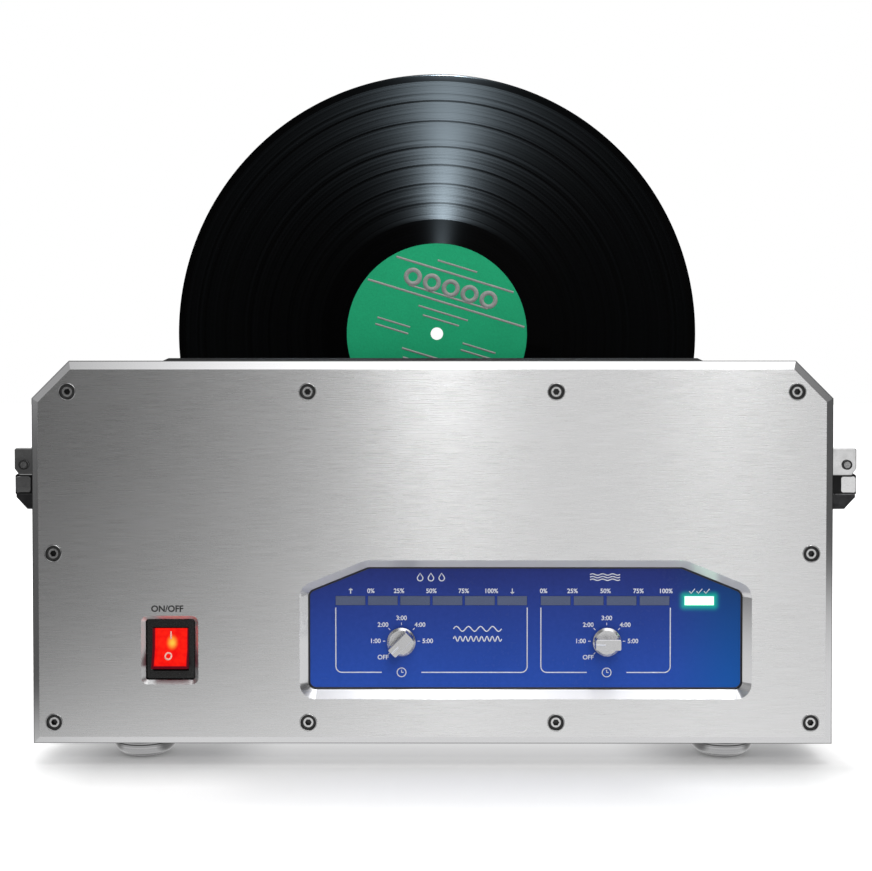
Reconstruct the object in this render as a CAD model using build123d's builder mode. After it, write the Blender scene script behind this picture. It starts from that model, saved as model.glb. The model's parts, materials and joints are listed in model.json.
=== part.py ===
from build123d import *
import os
from math import sqrt

os.makedirs("parts", exist_ok=True)

# Desktop ultrasonic record cleaner, loaded with one 12-inch record that stands in the slot on top.
# Millimetres. +Z is up, -Y is the front, X = 0 is the middle of the front and Z = 0 is the table.

# ---------------------------------------------------------------- driving dimensions: case
front_width = 415.0
front_height = 199.0
case_depth = 200.0
front_thickness = 10.0
rear_thickness = 4.0
corner_cut = 19.5  # the legs of the 45 degree cuts at both upper corners
front_bevel = 4.5
rear_bevel = 1.0
case_inset = 2.0  # the cover stands this far inside the plates' edge
sheet = 2.0
frame_width = 18.0
frame_thickness = 8.0
tray_lip_height = 14.0
tray_lip_thickness = 1.5
seat_gap = 0.1  # between pieces that are fitted together
running_gap = 0.05  # radial, round everything that turns

# screws (socket caps: radius of shank and head, height of head)
screw_radius = 2.0
head_radius = 3.5
head_height = 4.0
hex_radius = 1.75
counterbore_radius = 4.0
counterbore_depth = 4.4
screw_length = 12.0
rear_screw_length = 10.0
cover_screw_length = 3.0
top_screw_edge = 16.0
top_screw_side = 19.6
low_screw_edge = 12.0
side_screw_edge = 12.0
inner_screw_x = 64.0

# feet
foot_height = 12.5
foot_radius = 16.4
foot_round = 7.5
foot_inset_x = 53.7  # from the front plate's ends to the feet's middles
foot_inset_y = 26.0  # from the case's front and rear faces
pad_radius = 6.0
pad_thickness = 2.0
pad_rise = 0.8  # how far the pad stands out of the foot

# slot on top
slot_x = -2.0  # the slot stands a little to the left of the middle
slot_length = 308.0
slot_width = 14.0
rim_length = 318.0
rim_width = 30.0
rim_height = 3.5
rim_slope = 7.0
collar_wall = 2.0
collar_depth = 5.0

# ---------------------------------------------------------------- driving dimensions: display
display_x = 48.25
display_width = 225.1
display_height = 63.5
display_rise = 28.4  # above the plate's lower edge
display_cut_x = 31.0
display_cut_z = 12.5
display_corner = 4.0
display_bevel = 4.2
display_ledge = 4.0
recess_depth = 5.0
panel_thickness = 1.5
bar_gap = 1.3
bar_height = 4.9
bar_drop = 17.5  # from the panel's top edge to the middle of the bars
washing_bars = 6
drying_bars = 4
washing_bar_edge = 21.8  # from the display's end to the middle of the nearest bar
done_bar_edge = 22.2
row_gap = 22.6  # between the last washing bar's middle and the first drying bar's
done_gap = 23.2
drying_stretch = 0.3  # the drying bars stand this much farther apart
spacer_length = 4.0
spacer_radius = 3.0
board_thickness = 1.6
board_margin = 2.5

# knobs
knob_drop = 38.6  # from the panel's top edge to the spindles
washing_knob_edge = 48.3  # from the display's near end
drying_knob_edge = 70.2
knob_radius = 7.4
knob_skirt = 3.2
knob_bevel = 1.2
knob_height = 10.2
grip_width = 5.6
grip_length = 13.2
grip_round = 0.8
knob_gap = 0.6
spindle_radius = 3.0
spindle_depth = 8.0
bushing_radius = 4.75
rotary_size = 16.0
rotary_depth = 12.0
washing_pointer = 225.0  # degrees, anticlockwise from the right: OFF
drying_pointer = 180.0  # first step

# power switch
switch_x = -135.5
switch_rise = 49.5
bezel_width = 25.5
bezel_height = 31.5
bezel_thickness = 2.0
bezel_round = 1.5
switch_bevel = 2.0
switch_body_width = 22.0
switch_body_height = 27.0
switch_body_depth = 25.0
rocker_width = 18.4
rocker_half = 10.4
rocker_rise = 3.0
rocker_valley = 1.4
rocker_pivot = 1.5  # the pivot lies this far behind the bezel's face
rocker_tilt = 11.0
rocker_pin_radius = 1.2
rocker_pin_length = 1.0
rocker_opening = 22.6
rocker_cavity = 15.0

# ---------------------------------------------------------------- driving dimensions: handles
handle_reach = 29.1  # from the case's side to the bracket's outer face
handle_pin_out = 23.7
handle_z = 151.6
lug_top = 9.2
lug_drop = 5.8
lug_spread = 40.0
lug_corner = 0.8
lug_cut_x = 2.6
lug_cut_z = 3.6
lug_thickness = 6.0
handle_plate = 3.0
handle_plate_half = 46.0
pin_radius = 2.0
pin_head_radius = 2.6
pin_head_height = 1.0
arm_gap = 0.3
arm_thickness = 6.0
arm_half = 5.2
handle_drop = 25.6
grip_height = 9.0
grip_lean = 6.6
grip_step = 1.8  # the grip stands this far outside its arms
grip_edge = 0.6
lug_edge = 0.5

# ---------------------------------------------------------------- driving dimensions: wash tank and record
record_radius = 150.8
record_thickness = 2.0
record_hole = 3.65
label_radius = 52.5
label_thickness = 0.15
tank_leg = 50.0
tank_wall = 1.5
tank_half_gap = 11.0
tank_top_half = 154.0
tank_shoulder = 84.0
tank_side_half = 124.0
tank_side_rise = 14.0
tank_floor_half = 112.0
tank_flange = 6.0
support_thickness = 3.0
support_foot = 18.0
support_x = 101.0
transducer_x = 50.0
transducer_rise = 74.0
transducer_radius = 22.5
transducer_length = 34.0
roller_x = 101.6
roller_rise = 29.15
tyre_radius = 14.0
tyre_thickness = 3.0
tyre_width = 5.0
roller_flange_radius = 17.0
roller_flange = 3.0
contact_gap = 0.3
shaft_radius = 3.0
bearing_radius = 9.0
bearing_length = 14.0
pulley_radius = 9.0
motor_pulley_radius = 6.0
pulley_flange = 2.0
pulley_cheek = 1.0
belt_width = 5.6
belt_thickness = 1.2
belt_play = 0.2
belt_gap = 0.15
pulley_y = 34.0
motor_rise = 33.5
motor_radius = 16.0
motor_length = 43.0
motor_shaft_radius = 2.5
motor_shaft_depth = 9.0
bracket_half = 22.0
bracket_thickness = 3.0
bracket_foot = 18.0

# ---------------------------------------------------------------- driving dimensions: drying air
knife_width = 10.0
knife_height = 12.0
knife_offset = 8.0
knife_wall = 1.5
knife_slit = 1.2
duct_wall = 1.5
duct_height = 14.0
duct_front = 20.0
duct_gap = 1.0  # to the cover
blower_gap = 6.5  # to the tank
blower_cover_gap = 7.5
blower_radius = 32.0
blower_wall = 2.0
blower_y = 45.0
blower_drop = 48.0
blower_mouth = 22.0
blower_inlet = 18.0
impeller_radius = 26.0
impeller_hub = 10.0
impeller_eye = 16.0
impeller_plate = 1.5
impeller_blades = 12
blade_thickness = 1.2
stub_radius = 2.0
stub_base_radius = 8.0
stub_share = 0.4
impeller_gap = 0.3
impeller_share = 0.45  # of the room inside the blower

# ---------------------------------------------------------------- driving dimensions: water and power
reservoir_half = 95.0
reservoir_front = -58.0
reservoir_back = 8.0
reservoir_headroom = 8.0
reservoir_wall = 2.5
nipple_radius = 4.0
nipple_bore = 2.5
nipple_length = 9.0
hose_wall = 1.5
hose_bend = 11.0
port_rise = 14.0
fill_port_x = -120.0
fill_port_rise = 47.5
drain_port_x = 104.0
drain_port_rise = 7.5
service_y = -36.0  # the line of the pump head and the filter
pump_x = -160.0
pump_rise = 22.0
pump_head_radius = 20.0
pump_head_length = 20.0
pump_motor_radius = 16.0
pump_motor_length = 42.0
pump_foot_half = 15.0
filter_x = 160.0
filter_radius = 21.0
filter_cap_radius = 23.0
filter_cap = 8.0
filter_height = 85.0
filter_port_rise = 57.5
valve_x = -176.0
valve_y = 66.0
valve_rise = 32.0
valve_size = 24.0
coil_radius = 10.0
coil_height = 22.0
spigot_radius = 5.0
spigot_bore = 3.0
spigot_reach = 9.0
spigot_shoulder = 0.7  # the spigot is this much thicker behind the rear plate's face
valve_feed_x = -80.0
inlet_x = 100.0
inlet_rise = 57.5
inlet_width = 27.0
inlet_height = 20.0
inlet_flange_width = 50.0
inlet_flange_height = 23.0
inlet_flange = 2.5
inlet_depth = 22.0
inlet_mouth_width = 24.6
inlet_mouth_height = 16.6
inlet_mouth_depth = 15.0
blade_width = 2.0
blade_height = 6.0
blade_pitch = 7.0
supply_x = 105.0
supply_width = 90.0
supply_depth = 34.0
supply_height = 38.0
supply_back_gap = 10.0
circuit_x = 80.0
circuit_width = 120.0
circuit_height = 82.0
circuit_rise = 84.0
circuit_standoff = 9.0
circuit_margin = 5.0  # from the board's edges to its spacers
circuit_row = 18.0  # from the board's middle to its upper and lower rows
relay_width = 14.0
relay_height = 10.0
choke_width = 26.0
choke_height = 24.0
heat_sink_width = 60.0
heat_sink_height = 12.0
low_part = 12.0
tall_part = 16.0
can_radius = 9.0
small_can_radius = 7.0
vent_slots = 8
vent_width = 3.0
vent_height = 44.0
vent_pitch = 5.5

# ---------------------------------------------------------------- places worked out from them
floor_z = foot_height
base_top = floor_z + sheet
plate_low = floor_z - case_inset
plate_high = plate_low + front_height
plate_middle = plate_low + front_height / 2
half_width = front_width / 2
front_y = -case_depth / 2
plate_back = front_y + front_thickness
rear_y = case_depth / 2
foot_x = half_width - foot_inset_x
foot_y = rear_y - foot_inset_y
rear_inner = rear_y - rear_thickness
cover_top = plate_high - case_inset
cover_under = cover_top - sheet
side_x = half_width - case_inset
frame_inset = case_inset + sheet + seat_gap

panel_front = front_y + recess_depth
panel_back = panel_front + panel_thickness
display_low = plate_low + display_rise
display_high = display_low + display_height
bar_z = display_high - bar_drop
display_left = display_x - display_width / 2
display_right = display_x + display_width / 2
bars_run = display_width - washing_bar_edge - done_bar_edge - row_gap - done_gap
washing_bar_pitch = (bars_run - (drying_bars - 1) * drying_stretch) / (washing_bars + drying_bars - 2)
drying_bar_pitch = washing_bar_pitch + drying_stretch
bar_width = washing_bar_pitch - bar_gap
washing_bar_x = display_left + washing_bar_edge
done_bar_x = display_right - done_bar_edge
drying_bar_x = done_bar_x - done_gap - (drying_bars - 1) * drying_bar_pitch
washing_knob_x = display_left + washing_knob_edge
drying_knob_x = display_right - drying_knob_edge
knob_z = display_high - knob_drop
board_front = plate_back + spacer_length
board_back = board_front + board_thickness
switch_z = plate_low + switch_rise
bezel_face = panel_front - bezel_thickness

tank_low = base_top + tank_leg
tank_floor = tank_low + tank_wall
tank_top = cover_under - collar_depth - knife_height - seat_gap
tank_wall_y = tank_half_gap + tank_wall
roller_z = tank_floor + roller_rise
centre_distance = record_radius + tyre_radius + contact_gap
record_z = roller_z + sqrt(centre_distance**2 - roller_x**2)
motor_z = base_top + motor_rise
port_z = base_top + port_rise
pump_z = base_top + pump_rise
valve_z = base_top + valve_rise
inlet_z = base_top + inlet_rise
blower_x = tank_top_half + tank_wall + blower_gap
blower_z = tank_top - blower_drop
blower_width = side_x - sheet - blower_cover_gap - blower_x
blower_room = blower_width - 2 * blower_wall
stub_base = stub_share * blower_room
stub_length = stub_base
impeller_depth = impeller_share * blower_room
hose_bore = nipple_radius + running_gap
hose_radius = hose_bore + hose_wall
filter_z = base_top + filter_port_rise
fill_z = tank_low + fill_port_rise
drain_z = tank_low + drain_port_rise


def at_y(y):
    """Plane at depth y seen from the front: local x is X, local y is Z, extruding comes forward."""
    return Plane.XZ.offset(-y)


def at_x(x):
    """Plane at x seen from the right: local x is Y, local y is Z, extruding goes to the right."""
    return Plane.YZ.offset(x)


def case_outline(inset, mode=Mode.ADD):
    """The plates' outline with both upper corners cut, drawn in from the edge by inset."""
    half = half_width - inset
    low = plate_low + inset
    high = plate_high - inset
    cut = corner_cut - inset * (2 - sqrt(2))
    corners = [
        (-half, low),
        (half, low),
        (half, high - cut),
        (half - cut, high),
        (cut - half, high),
        (-half, high - cut),
    ]
    Polygon(*corners, align=None, mode=mode)


def mirrored(piece):
    """The same piece for the left side of the case."""
    with BuildPart() as other:
        mirror(piece.part, about=Plane.YZ)
    return other


def socket_screw(length):
    """Socket cap screw: the head stands on the XY plane and the shank goes down."""
    with BuildPart() as screw:
        with BuildSketch():
            Circle(head_radius)
        extrude(amount=head_height)
        chamfer(screw.edges().group_by(Axis.Z)[-1], length=0.3)
        with BuildSketch(Plane.XY.offset(head_height)):
            RegularPolygon(hex_radius, 6)
        extrude(amount=-head_height / 2, mode=Mode.SUBTRACT)
        with BuildSketch():
            Circle(screw_radius)
        extrude(amount=-length)
    return screw.part


def screw_spots():
    """The ten screw places round the plates, as (x, z)."""
    top_z = plate_high - top_screw_edge
    low_z = plate_low + low_screw_edge
    spots = []
    for side in (-1, 1):
        spots.append((side * (half_width - top_screw_side), top_z))
        spots.append((side * inner_screw_x, top_z))
        spots.append((side * (half_width - side_screw_edge), plate_middle))
        spots.append((side * (half_width - side_screw_edge), low_z))
        spots.append((side * inner_screw_x, low_z))
    return spots


# ---------------------------------------------------------------- case
with BuildSketch() as panel_shape:
    Polygon(
        (display_left, display_low),
        (display_right, display_low),
        (display_right, display_high - display_cut_z),
        (display_right - display_cut_x, display_high),
        (display_left + display_cut_x, display_high),
        (display_left, display_high - display_cut_z),
        align=None,
    )
    fillet(panel_shape.vertices(), radius=display_corner)

with BuildSketch() as window_shape:
    add(panel_shape.sketch)
    offset(amount=-display_ledge, kind=Kind.INTERSECTION, mode=Mode.REPLACE)

with BuildPart() as front_plate:
    with BuildSketch(at_y(plate_back)):
        case_outline(0)
    extrude(amount=front_thickness)
    chamfer(front_plate.faces().sort_by(Axis.Y)[0].edges(), length=front_bevel)
    with BuildSketch(at_y(front_y)):
        add(panel_shape.sketch)
    extrude(amount=panel_front - panel_back - recess_depth, mode=Mode.SUBTRACT)
    chamfer(front_plate.faces().sort_by(Axis.Y)[0].inner_wires()[0].edges(), length=display_bevel)
    with BuildSketch(at_y(front_y)):
        with Locations((switch_x, switch_z)):
            RectangleRounded(bezel_width + 2 * seat_gap, bezel_height + 2 * seat_gap, bezel_round)
    extrude(amount=-recess_depth, mode=Mode.SUBTRACT)
    recess_edges = front_plate.faces().sort_by(Axis.Y)[0].inner_wires().sort_by(Axis.X)[0].edges()
    chamfer(recess_edges, length=switch_bevel)
    with BuildSketch(at_y(plate_back)):
        add(window_shape.sketch)
        with Locations((switch_x, switch_z)):
            Rectangle(switch_body_width + 2 * seat_gap, switch_body_height + 2 * seat_gap)
    extrude(amount=front_thickness, mode=Mode.SUBTRACT)
    with Locations(at_y(front_y)):
        with Locations(*screw_spots()):
            CounterBoreHole(screw_radius + seat_gap, counterbore_radius, counterbore_depth)


def frame_ring(front, spots):
    """Ring that joins a plate to the cover and the tray, tapped for the plate's screws."""
    with BuildPart() as ring:
        with BuildSketch(at_y(front + frame_thickness)):
            case_outline(frame_inset)
            case_outline(frame_inset + frame_width, mode=Mode.SUBTRACT)
        extrude(amount=frame_thickness)
        with Locations(at_y(front)):
            with Locations(*spots):
                Hole(screw_radius + running_gap)
    return ring


front_frame = frame_ring(plate_back, screw_spots())
rear_frame = frame_ring(rear_inner - frame_thickness, screw_spots())

vent_x = blower_x + blower_width / 2
with BuildPart() as rear_plate:
    with BuildSketch(at_y(rear_y)):
        case_outline(0)
    extrude(amount=rear_thickness)
    chamfer(rear_plate.faces().sort_by(Axis.Y)[-1].edges(), length=rear_bevel)
    with BuildSketch(at_y(rear_y)):
        with Locations(*screw_spots()):
            Circle(screw_radius + seat_gap)
        with Locations((valve_x, valve_z)):
            Circle(spigot_radius + spigot_shoulder + seat_gap)
        with Locations((inlet_x, inlet_z)):
            Rectangle(inlet_width + 2 * seat_gap, inlet_height + 2 * seat_gap)
        with Locations((-vent_x, blower_z), (vent_x, blower_z)):
            with GridLocations(vent_pitch, 0, vent_slots, 1):
                SlotOverall(vent_height, vent_width, rotation=90)
    extrude(amount=rear_thickness, mode=Mode.SUBTRACT)

cover_screw_z = base_top + tray_lip_height / 2
cover_screw_spots = [(y, cover_screw_z) for y in (-foot_y, 0, foot_y)]
tray_half = side_x - sheet - seat_gap
lip_length = rear_inner - plate_back - 2 * (frame_thickness + seat_gap)
with BuildPart() as chassis_tray:
    with BuildSketch(Plane.XY.offset(floor_z)):
        with Locations((0, (plate_back + rear_inner) / 2)):
            Rectangle(2 * tray_half, rear_inner - plate_back)
    extrude(amount=sheet)
    with BuildSketch(Plane.XY.offset(base_top)):
        for side in (-1, 1):
            with Locations((side * (tray_half - tray_lip_thickness / 2), (plate_back + rear_inner) / 2)):
                Rectangle(tray_lip_thickness, lip_length)
    extrude(amount=tray_lip_height)
    with Locations(Plane.XY.offset(base_top)):
        with GridLocations(2 * foot_x, 2 * foot_y, 2, 2):
            Hole(screw_radius + seat_gap, depth=sheet)
    with BuildSketch(at_x(-tray_half)):
        with Locations(*cover_screw_spots):
            Circle(screw_radius + running_gap)
    extrude(amount=2 * tray_half, mode=Mode.SUBTRACT)

with BuildPart() as top_cover:
    with BuildSketch(at_y(rear_inner)):
        case_outline(case_inset)
        case_outline(case_inset + sheet, mode=Mode.SUBTRACT)
        with Locations((0, floor_z)):
            Rectangle(2 * (side_x - sheet), 2 * sheet + 2 * seat_gap, mode=Mode.SUBTRACT)
    extrude(amount=rear_inner - plate_back)
    with BuildSketch(Plane.XY.offset(cover_top)):
        with Locations((slot_x, 0)):
            Rectangle(slot_length + 2 * (collar_wall + seat_gap), slot_width + 2 * (collar_wall + seat_gap))
    extrude(amount=-sheet, mode=Mode.SUBTRACT)
    for side in (-1, 1):
        with BuildSketch(at_x(side * side_x)):
            with Locations(*cover_screw_spots):
                Circle(screw_radius + seat_gap)
        extrude(amount=-side * sheet, mode=Mode.SUBTRACT)

with BuildPart() as slot_bezel:
    with BuildSketch(at_y(rim_width / 2)):
        with Locations((slot_x, cover_top)):
            Polygon(
                (-rim_length / 2, 0),
                (rim_length / 2, 0),
                (rim_length / 2 - rim_slope, rim_height),
                (rim_slope - rim_length / 2, rim_height),
                align=None,
            )
    extrude(amount=rim_width)
    long_edges = slot_bezel.edges().filter_by(Axis.X).group_by(Axis.Z)[-1]
    chamfer(long_edges, length=rim_height / 2)
    with BuildSketch(Plane.XY.offset(cover_top)):
        with Locations((slot_x, 0)):
            Rectangle(slot_length + 2 * collar_wall, slot_width + 2 * collar_wall)
    extrude(amount=-(sheet + collar_depth))
    with BuildSketch(Plane.XY.offset(cover_top + rim_height)):
        with Locations((slot_x, 0)):
            Rectangle(slot_length, slot_width)
    extrude(amount=-(rim_height + sheet + collar_depth), mode=Mode.SUBTRACT)

front_screw = socket_screw(screw_length)
with BuildPart() as front_screws:
    with Locations(at_y(front_y + counterbore_depth)):
        with Locations(*screw_spots()):
            add(front_screw)

rear_screw = socket_screw(rear_screw_length)
cover_screw = socket_screw(cover_screw_length)
foot_seat = pad_thickness + counterbore_depth
foot_screw = socket_screw(base_top + sheet - foot_seat)
with BuildPart() as case_screws:
    with Locations(Plane.back.offset(rear_y)):
        with Locations(*screw_spots()):
            add(rear_screw)
    with Locations(Plane.bottom.offset(-foot_seat)):
        with GridLocations(2 * foot_x, 2 * foot_y, 2, 2):
            add(foot_screw)
    for plane in (Plane.left, Plane.right):
        with Locations(plane.offset(side_x)):
            with Locations(*cover_screw_spots):
                add(cover_screw)

# ---------------------------------------------------------------- feet
with BuildPart() as foot:
    with BuildSketch(Plane.XY.offset(pad_rise)):
        Circle(foot_radius)
    extrude(amount=floor_z - pad_rise)
    fillet(foot.edges().group_by(Axis.Z)[0], radius=foot_round)
    with BuildSketch(Plane.XY.offset(pad_rise)):
        Circle(pad_radius + running_gap)
    extrude(amount=pad_thickness - pad_rise, mode=Mode.SUBTRACT)
    with BuildSketch(Plane.XY.offset(pad_thickness)):
        Circle(counterbore_radius)
    extrude(amount=counterbore_depth, mode=Mode.SUBTRACT)
    with BuildSketch(Plane.XY.offset(foot_seat)):
        Circle(screw_radius + seat_gap)
    extrude(amount=floor_z - foot_seat, mode=Mode.SUBTRACT)

foot_places = {
    "foot_front_left": (-foot_x, -foot_y),
    "foot_front_right": (foot_x, -foot_y),
    "foot_rear_left": (-foot_x, foot_y),
    "foot_rear_right": (foot_x, foot_y),
}
feet = {}
for name, place in foot_places.items():
    with BuildPart() as feet[name]:
        with Locations(place):
            add(foot.part)

with BuildPart() as foot_pads:
    with BuildSketch():
        with GridLocations(2 * foot_x, 2 * foot_y, 2, 2):
            Circle(pad_radius)
    extrude(amount=pad_thickness)

# ---------------------------------------------------------------- display
bar_spots = [(washing_bar_x + step * washing_bar_pitch, bar_z) for step in range(washing_bars)]
bar_spots += [(drying_bar_x + step * drying_bar_pitch, bar_z) for step in range(drying_bars)]
done_spot = (done_bar_x, bar_z)
knob_spots = [(washing_knob_x, knob_z), (drying_knob_x, knob_z)]

with BuildPart() as display_panel:
    with BuildSketch(at_y(panel_back)):
        add(panel_shape.sketch)
        offset(amount=-seat_gap, kind=Kind.INTERSECTION, mode=Mode.REPLACE)
        with Locations(*bar_spots, done_spot):
            Rectangle(bar_width, bar_height, mode=Mode.SUBTRACT)
        with Locations(*knob_spots):
            Circle(spindle_radius + contact_gap, mode=Mode.SUBTRACT)
    extrude(amount=panel_thickness)


def light_bars(spots):
    """Clear bars that stand on the board and end flush with the panel's face."""
    with BuildPart() as bars:
        with BuildSketch(at_y(board_front)):
            with Locations(*spots):
                Rectangle(bar_width - 2 * seat_gap, bar_height - 2 * seat_gap)
        extrude(amount=board_front - panel_front)
    return bars


indicator_bars = light_bars(bar_spots)
completed_bar = light_bars([done_spot])

board_half = display_width / 2 + board_margin - display_ledge
board_half_height = display_height / 2 + board_margin - display_ledge
board_z = display_low + display_height / 2
with BuildPart() as display_board:
    with BuildSketch(at_y(board_back)):
        with Locations((display_x, board_z)):
            Rectangle(2 * board_half, 2 * board_half_height)
        with Locations(*knob_spots):
            Circle(bushing_radius + seat_gap, mode=Mode.SUBTRACT)
    extrude(amount=board_thickness)
    with BuildSketch(at_y(board_front)):
        with Locations((display_x, board_z)):
            with GridLocations(2 * (board_half - spacer_radius), 0, 2, 1):
                Rectangle(2 * spacer_radius, spacer_radius)
    extrude(amount=spacer_length)

with BuildPart() as rotary_switches:
    with BuildSketch(at_y(board_back + rotary_depth)):
        with Locations(*knob_spots):
            Rectangle(rotary_size, rotary_size)
    extrude(amount=rotary_depth)
    with BuildSketch(at_y(board_back)):
        with Locations(*knob_spots):
            Circle(bushing_radius)
    extrude(amount=board_back - panel_back - seat_gap)
    with BuildSketch(at_y(panel_back)):
        with Locations(*knob_spots):
            Circle(spindle_radius + running_gap)
    extrude(amount=-(board_back - panel_back + spindle_depth), mode=Mode.SUBTRACT)


def bar_knob():
    """Round skirt with a grip bar across it; its back is on the XY plane and it points along +X."""
    with BuildPart() as knob:
        with BuildSketch():
            Circle(knob_radius)
        extrude(amount=knob_skirt)
        chamfer(knob.edges().group_by(Axis.Z)[-1], length=knob_bevel)
        with BuildSketch():
            RectangleRounded(grip_length, grip_width, grip_round)
        extrude(amount=knob_height)
        fillet(knob.edges().group_by(Axis.Z)[-1], radius=grip_round / 2)
        with BuildSketch():
            Circle(spindle_radius + running_gap)
        extrude(amount=spindle_depth + seat_gap, mode=Mode.SUBTRACT)
    return knob.part


spindle_back = board_back + spindle_depth - seat_gap
knob_back = panel_front - knob_gap
plain_knob = bar_knob()


def knob_with_spindle(spot, pointer):
    """Knob on its spindle, with its pointer turned to an angle."""
    with BuildPart() as turned:
        with Locations(at_y(knob_back)):
            with Locations(Location((*spot, 0), (0, 0, pointer))):
                add(plain_knob)
        with BuildSketch(at_y(spindle_back)):
            with Locations(spot):
                Circle(spindle_radius)
        extrude(amount=spindle_back - knob_back + spindle_depth)
    return turned


washing_knob = knob_with_spindle(knob_spots[0], washing_pointer)
drying_knob = knob_with_spindle(knob_spots[1], drying_pointer)

# ---------------------------------------------------------------- power switch
pivot_y = bezel_face + rocker_pivot
with BuildPart() as power_switch_housing:
    with BuildSketch(at_y(panel_front)):
        with Locations((switch_x, switch_z)):
            RectangleRounded(bezel_width, bezel_height, bezel_round)
    extrude(amount=bezel_thickness)
    chamfer(power_switch_housing.faces().sort_by(Axis.Y)[0].edges(), length=0.6)
    with BuildSketch(at_y(panel_front)):
        with Locations((switch_x, switch_z)):
            Rectangle(switch_body_width, switch_body_height)
    extrude(amount=-switch_body_depth)
    with BuildSketch(at_y(bezel_face)):
        with Locations((switch_x, switch_z)):
            Rectangle(rocker_width + 2 * seat_gap, rocker_opening)
    extrude(amount=-rocker_cavity, mode=Mode.SUBTRACT)
    with BuildSketch(at_x(switch_x - rocker_width / 2 - rocker_pin_length - seat_gap)):
        with Locations((pivot_y, switch_z)):
            Circle(rocker_pin_radius + running_gap)
    extrude(amount=rocker_width + 2 * (rocker_pin_length + seat_gap), mode=Mode.SUBTRACT)

with BuildPart() as power_rocker:
    with BuildSketch(at_x(switch_x - rocker_width / 2)):
        with Locations(Location((pivot_y, switch_z, 0), (0, 0, -rocker_tilt))):
            Polygon(
                (-rocker_pivot - rocker_rise, -rocker_half),
                (-rocker_pivot - rocker_valley, 0),
                (-rocker_pivot - rocker_rise, rocker_half),
                (0, rocker_half),
                (rocker_half / 2, rocker_half / 4),
                (rocker_half / 2, -rocker_half / 4),
                (0, -rocker_half),
                align=None,
            )
    extrude(amount=rocker_width)
    with BuildSketch(at_x(switch_x - rocker_width / 2 - rocker_pin_length)):
        with Locations((pivot_y, switch_z)):
            Circle(rocker_pin_radius)
    extrude(amount=rocker_width + 2 * rocker_pin_length)

# ---------------------------------------------------------------- handles
handle_pin_x = side_x + handle_pin_out
bracket_x = side_x + handle_reach
lug_low = handle_z - lug_drop
lug_high = handle_z + lug_top
arm_outer_y = lug_spread - lug_thickness - arm_gap
grip_outer_x = handle_pin_x + arm_half + grip_step
with BuildPart() as handle_bracket_right:
    with BuildSketch(at_x(side_x)):
        with Locations((0, (lug_low + lug_high) / 2)):
            RectangleRounded(2 * handle_plate_half, lug_high - lug_low + 2 * lug_drop, 3)
    extrude(amount=handle_plate)
    with BuildSketch(at_y(lug_spread)):
        Polygon(
            (side_x, lug_low - lug_drop),
            (side_x, lug_high),
            (bracket_x - lug_corner, lug_high),
            (bracket_x, lug_high - lug_corner),
            (bracket_x, lug_low + lug_cut_z),
            (bracket_x - lug_cut_x, lug_low),
            (side_x + handle_plate + lug_drop, lug_low),
            (side_x + handle_plate, lug_low - lug_drop),
            align=None,
        )
    extrude(amount=2 * lug_spread)
    with BuildSketch(Plane.XY.offset(lug_low - lug_drop)):
        with Locations((side_x + handle_plate + handle_reach / 2, 0)):
            Rectangle(handle_reach, 2 * (lug_spread - lug_thickness))
    extrude(amount=lug_high - lug_low + 2 * lug_drop, mode=Mode.SUBTRACT)
    lug_edges = handle_bracket_right.edges().filter_by_position(Axis.X, side_x + handle_plate + 1, bracket_x)
    lug_rows = lug_edges.group_by(Axis.Y)
    chamfer(lug_rows[0] + lug_rows[-1], length=lug_edge)
    with BuildSketch(at_y(lug_spread)):
        with Locations((handle_pin_x, handle_z)):
            Circle(pin_radius + running_gap)
    extrude(amount=2 * lug_spread, mode=Mode.SUBTRACT)

with BuildPart() as handle_right:
    with BuildSketch(at_y(arm_outer_y)):
        with Locations((handle_pin_x, handle_z)):
            Circle(arm_half)
        Polygon(
            (handle_pin_x - arm_half, handle_z),
            (handle_pin_x + arm_half, handle_z),
            (handle_pin_x + arm_half, handle_z - arm_half),
            (grip_outer_x, handle_z - arm_half - grip_step),
            (grip_outer_x, handle_z - handle_drop + grip_height),
            (grip_outer_x - grip_lean, handle_z - handle_drop),
            (handle_pin_x - arm_half - grip_lean, handle_z - handle_drop),
            (handle_pin_x - arm_half, handle_z - handle_drop + grip_height),
            align=None,
        )
    extrude(amount=2 * arm_outer_y)
    with BuildSketch(at_y(arm_outer_y - arm_thickness)):
        with Locations((handle_pin_x, handle_z + grip_height / 2)):
            Rectangle(4 * arm_half, 2 * (handle_drop - grip_height / 2))
    extrude(amount=2 * (arm_outer_y - arm_thickness), mode=Mode.SUBTRACT)
    fillet(handle_right.edges().filter_by(Axis.Y).group_by(Axis.Z)[0], radius=1.5)
    for face in (handle_right.faces().sort_by(Axis.Y)[0], handle_right.faces().sort_by(Axis.Y)[-1]):
        chamfer(face.edges(), length=grip_edge)
    with BuildSketch(at_y(arm_outer_y)):
        with Locations((handle_pin_x, handle_z)):
            Circle(pin_radius + running_gap)
    extrude(amount=2 * arm_outer_y, mode=Mode.SUBTRACT)

handle_bracket_left = mirrored(handle_bracket_right)
handle_left = mirrored(handle_right)

with BuildPart() as pin:
    with BuildSketch():
        Circle(pin_head_radius)
    extrude(amount=pin_head_height)
    fillet(pin.edges().group_by(Axis.Z)[-1], radius=0.5)
    with BuildSketch():
        Circle(pin_radius)
    extrude(amount=-(lug_thickness + arm_gap + arm_thickness))

with BuildPart() as handle_pins:
    for plane in (Plane.front, Plane.back):
        with Locations(plane.offset(lug_spread)):
            with Locations((-handle_pin_x, handle_z), (handle_pin_x, handle_z)):
                add(pin.part)

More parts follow.
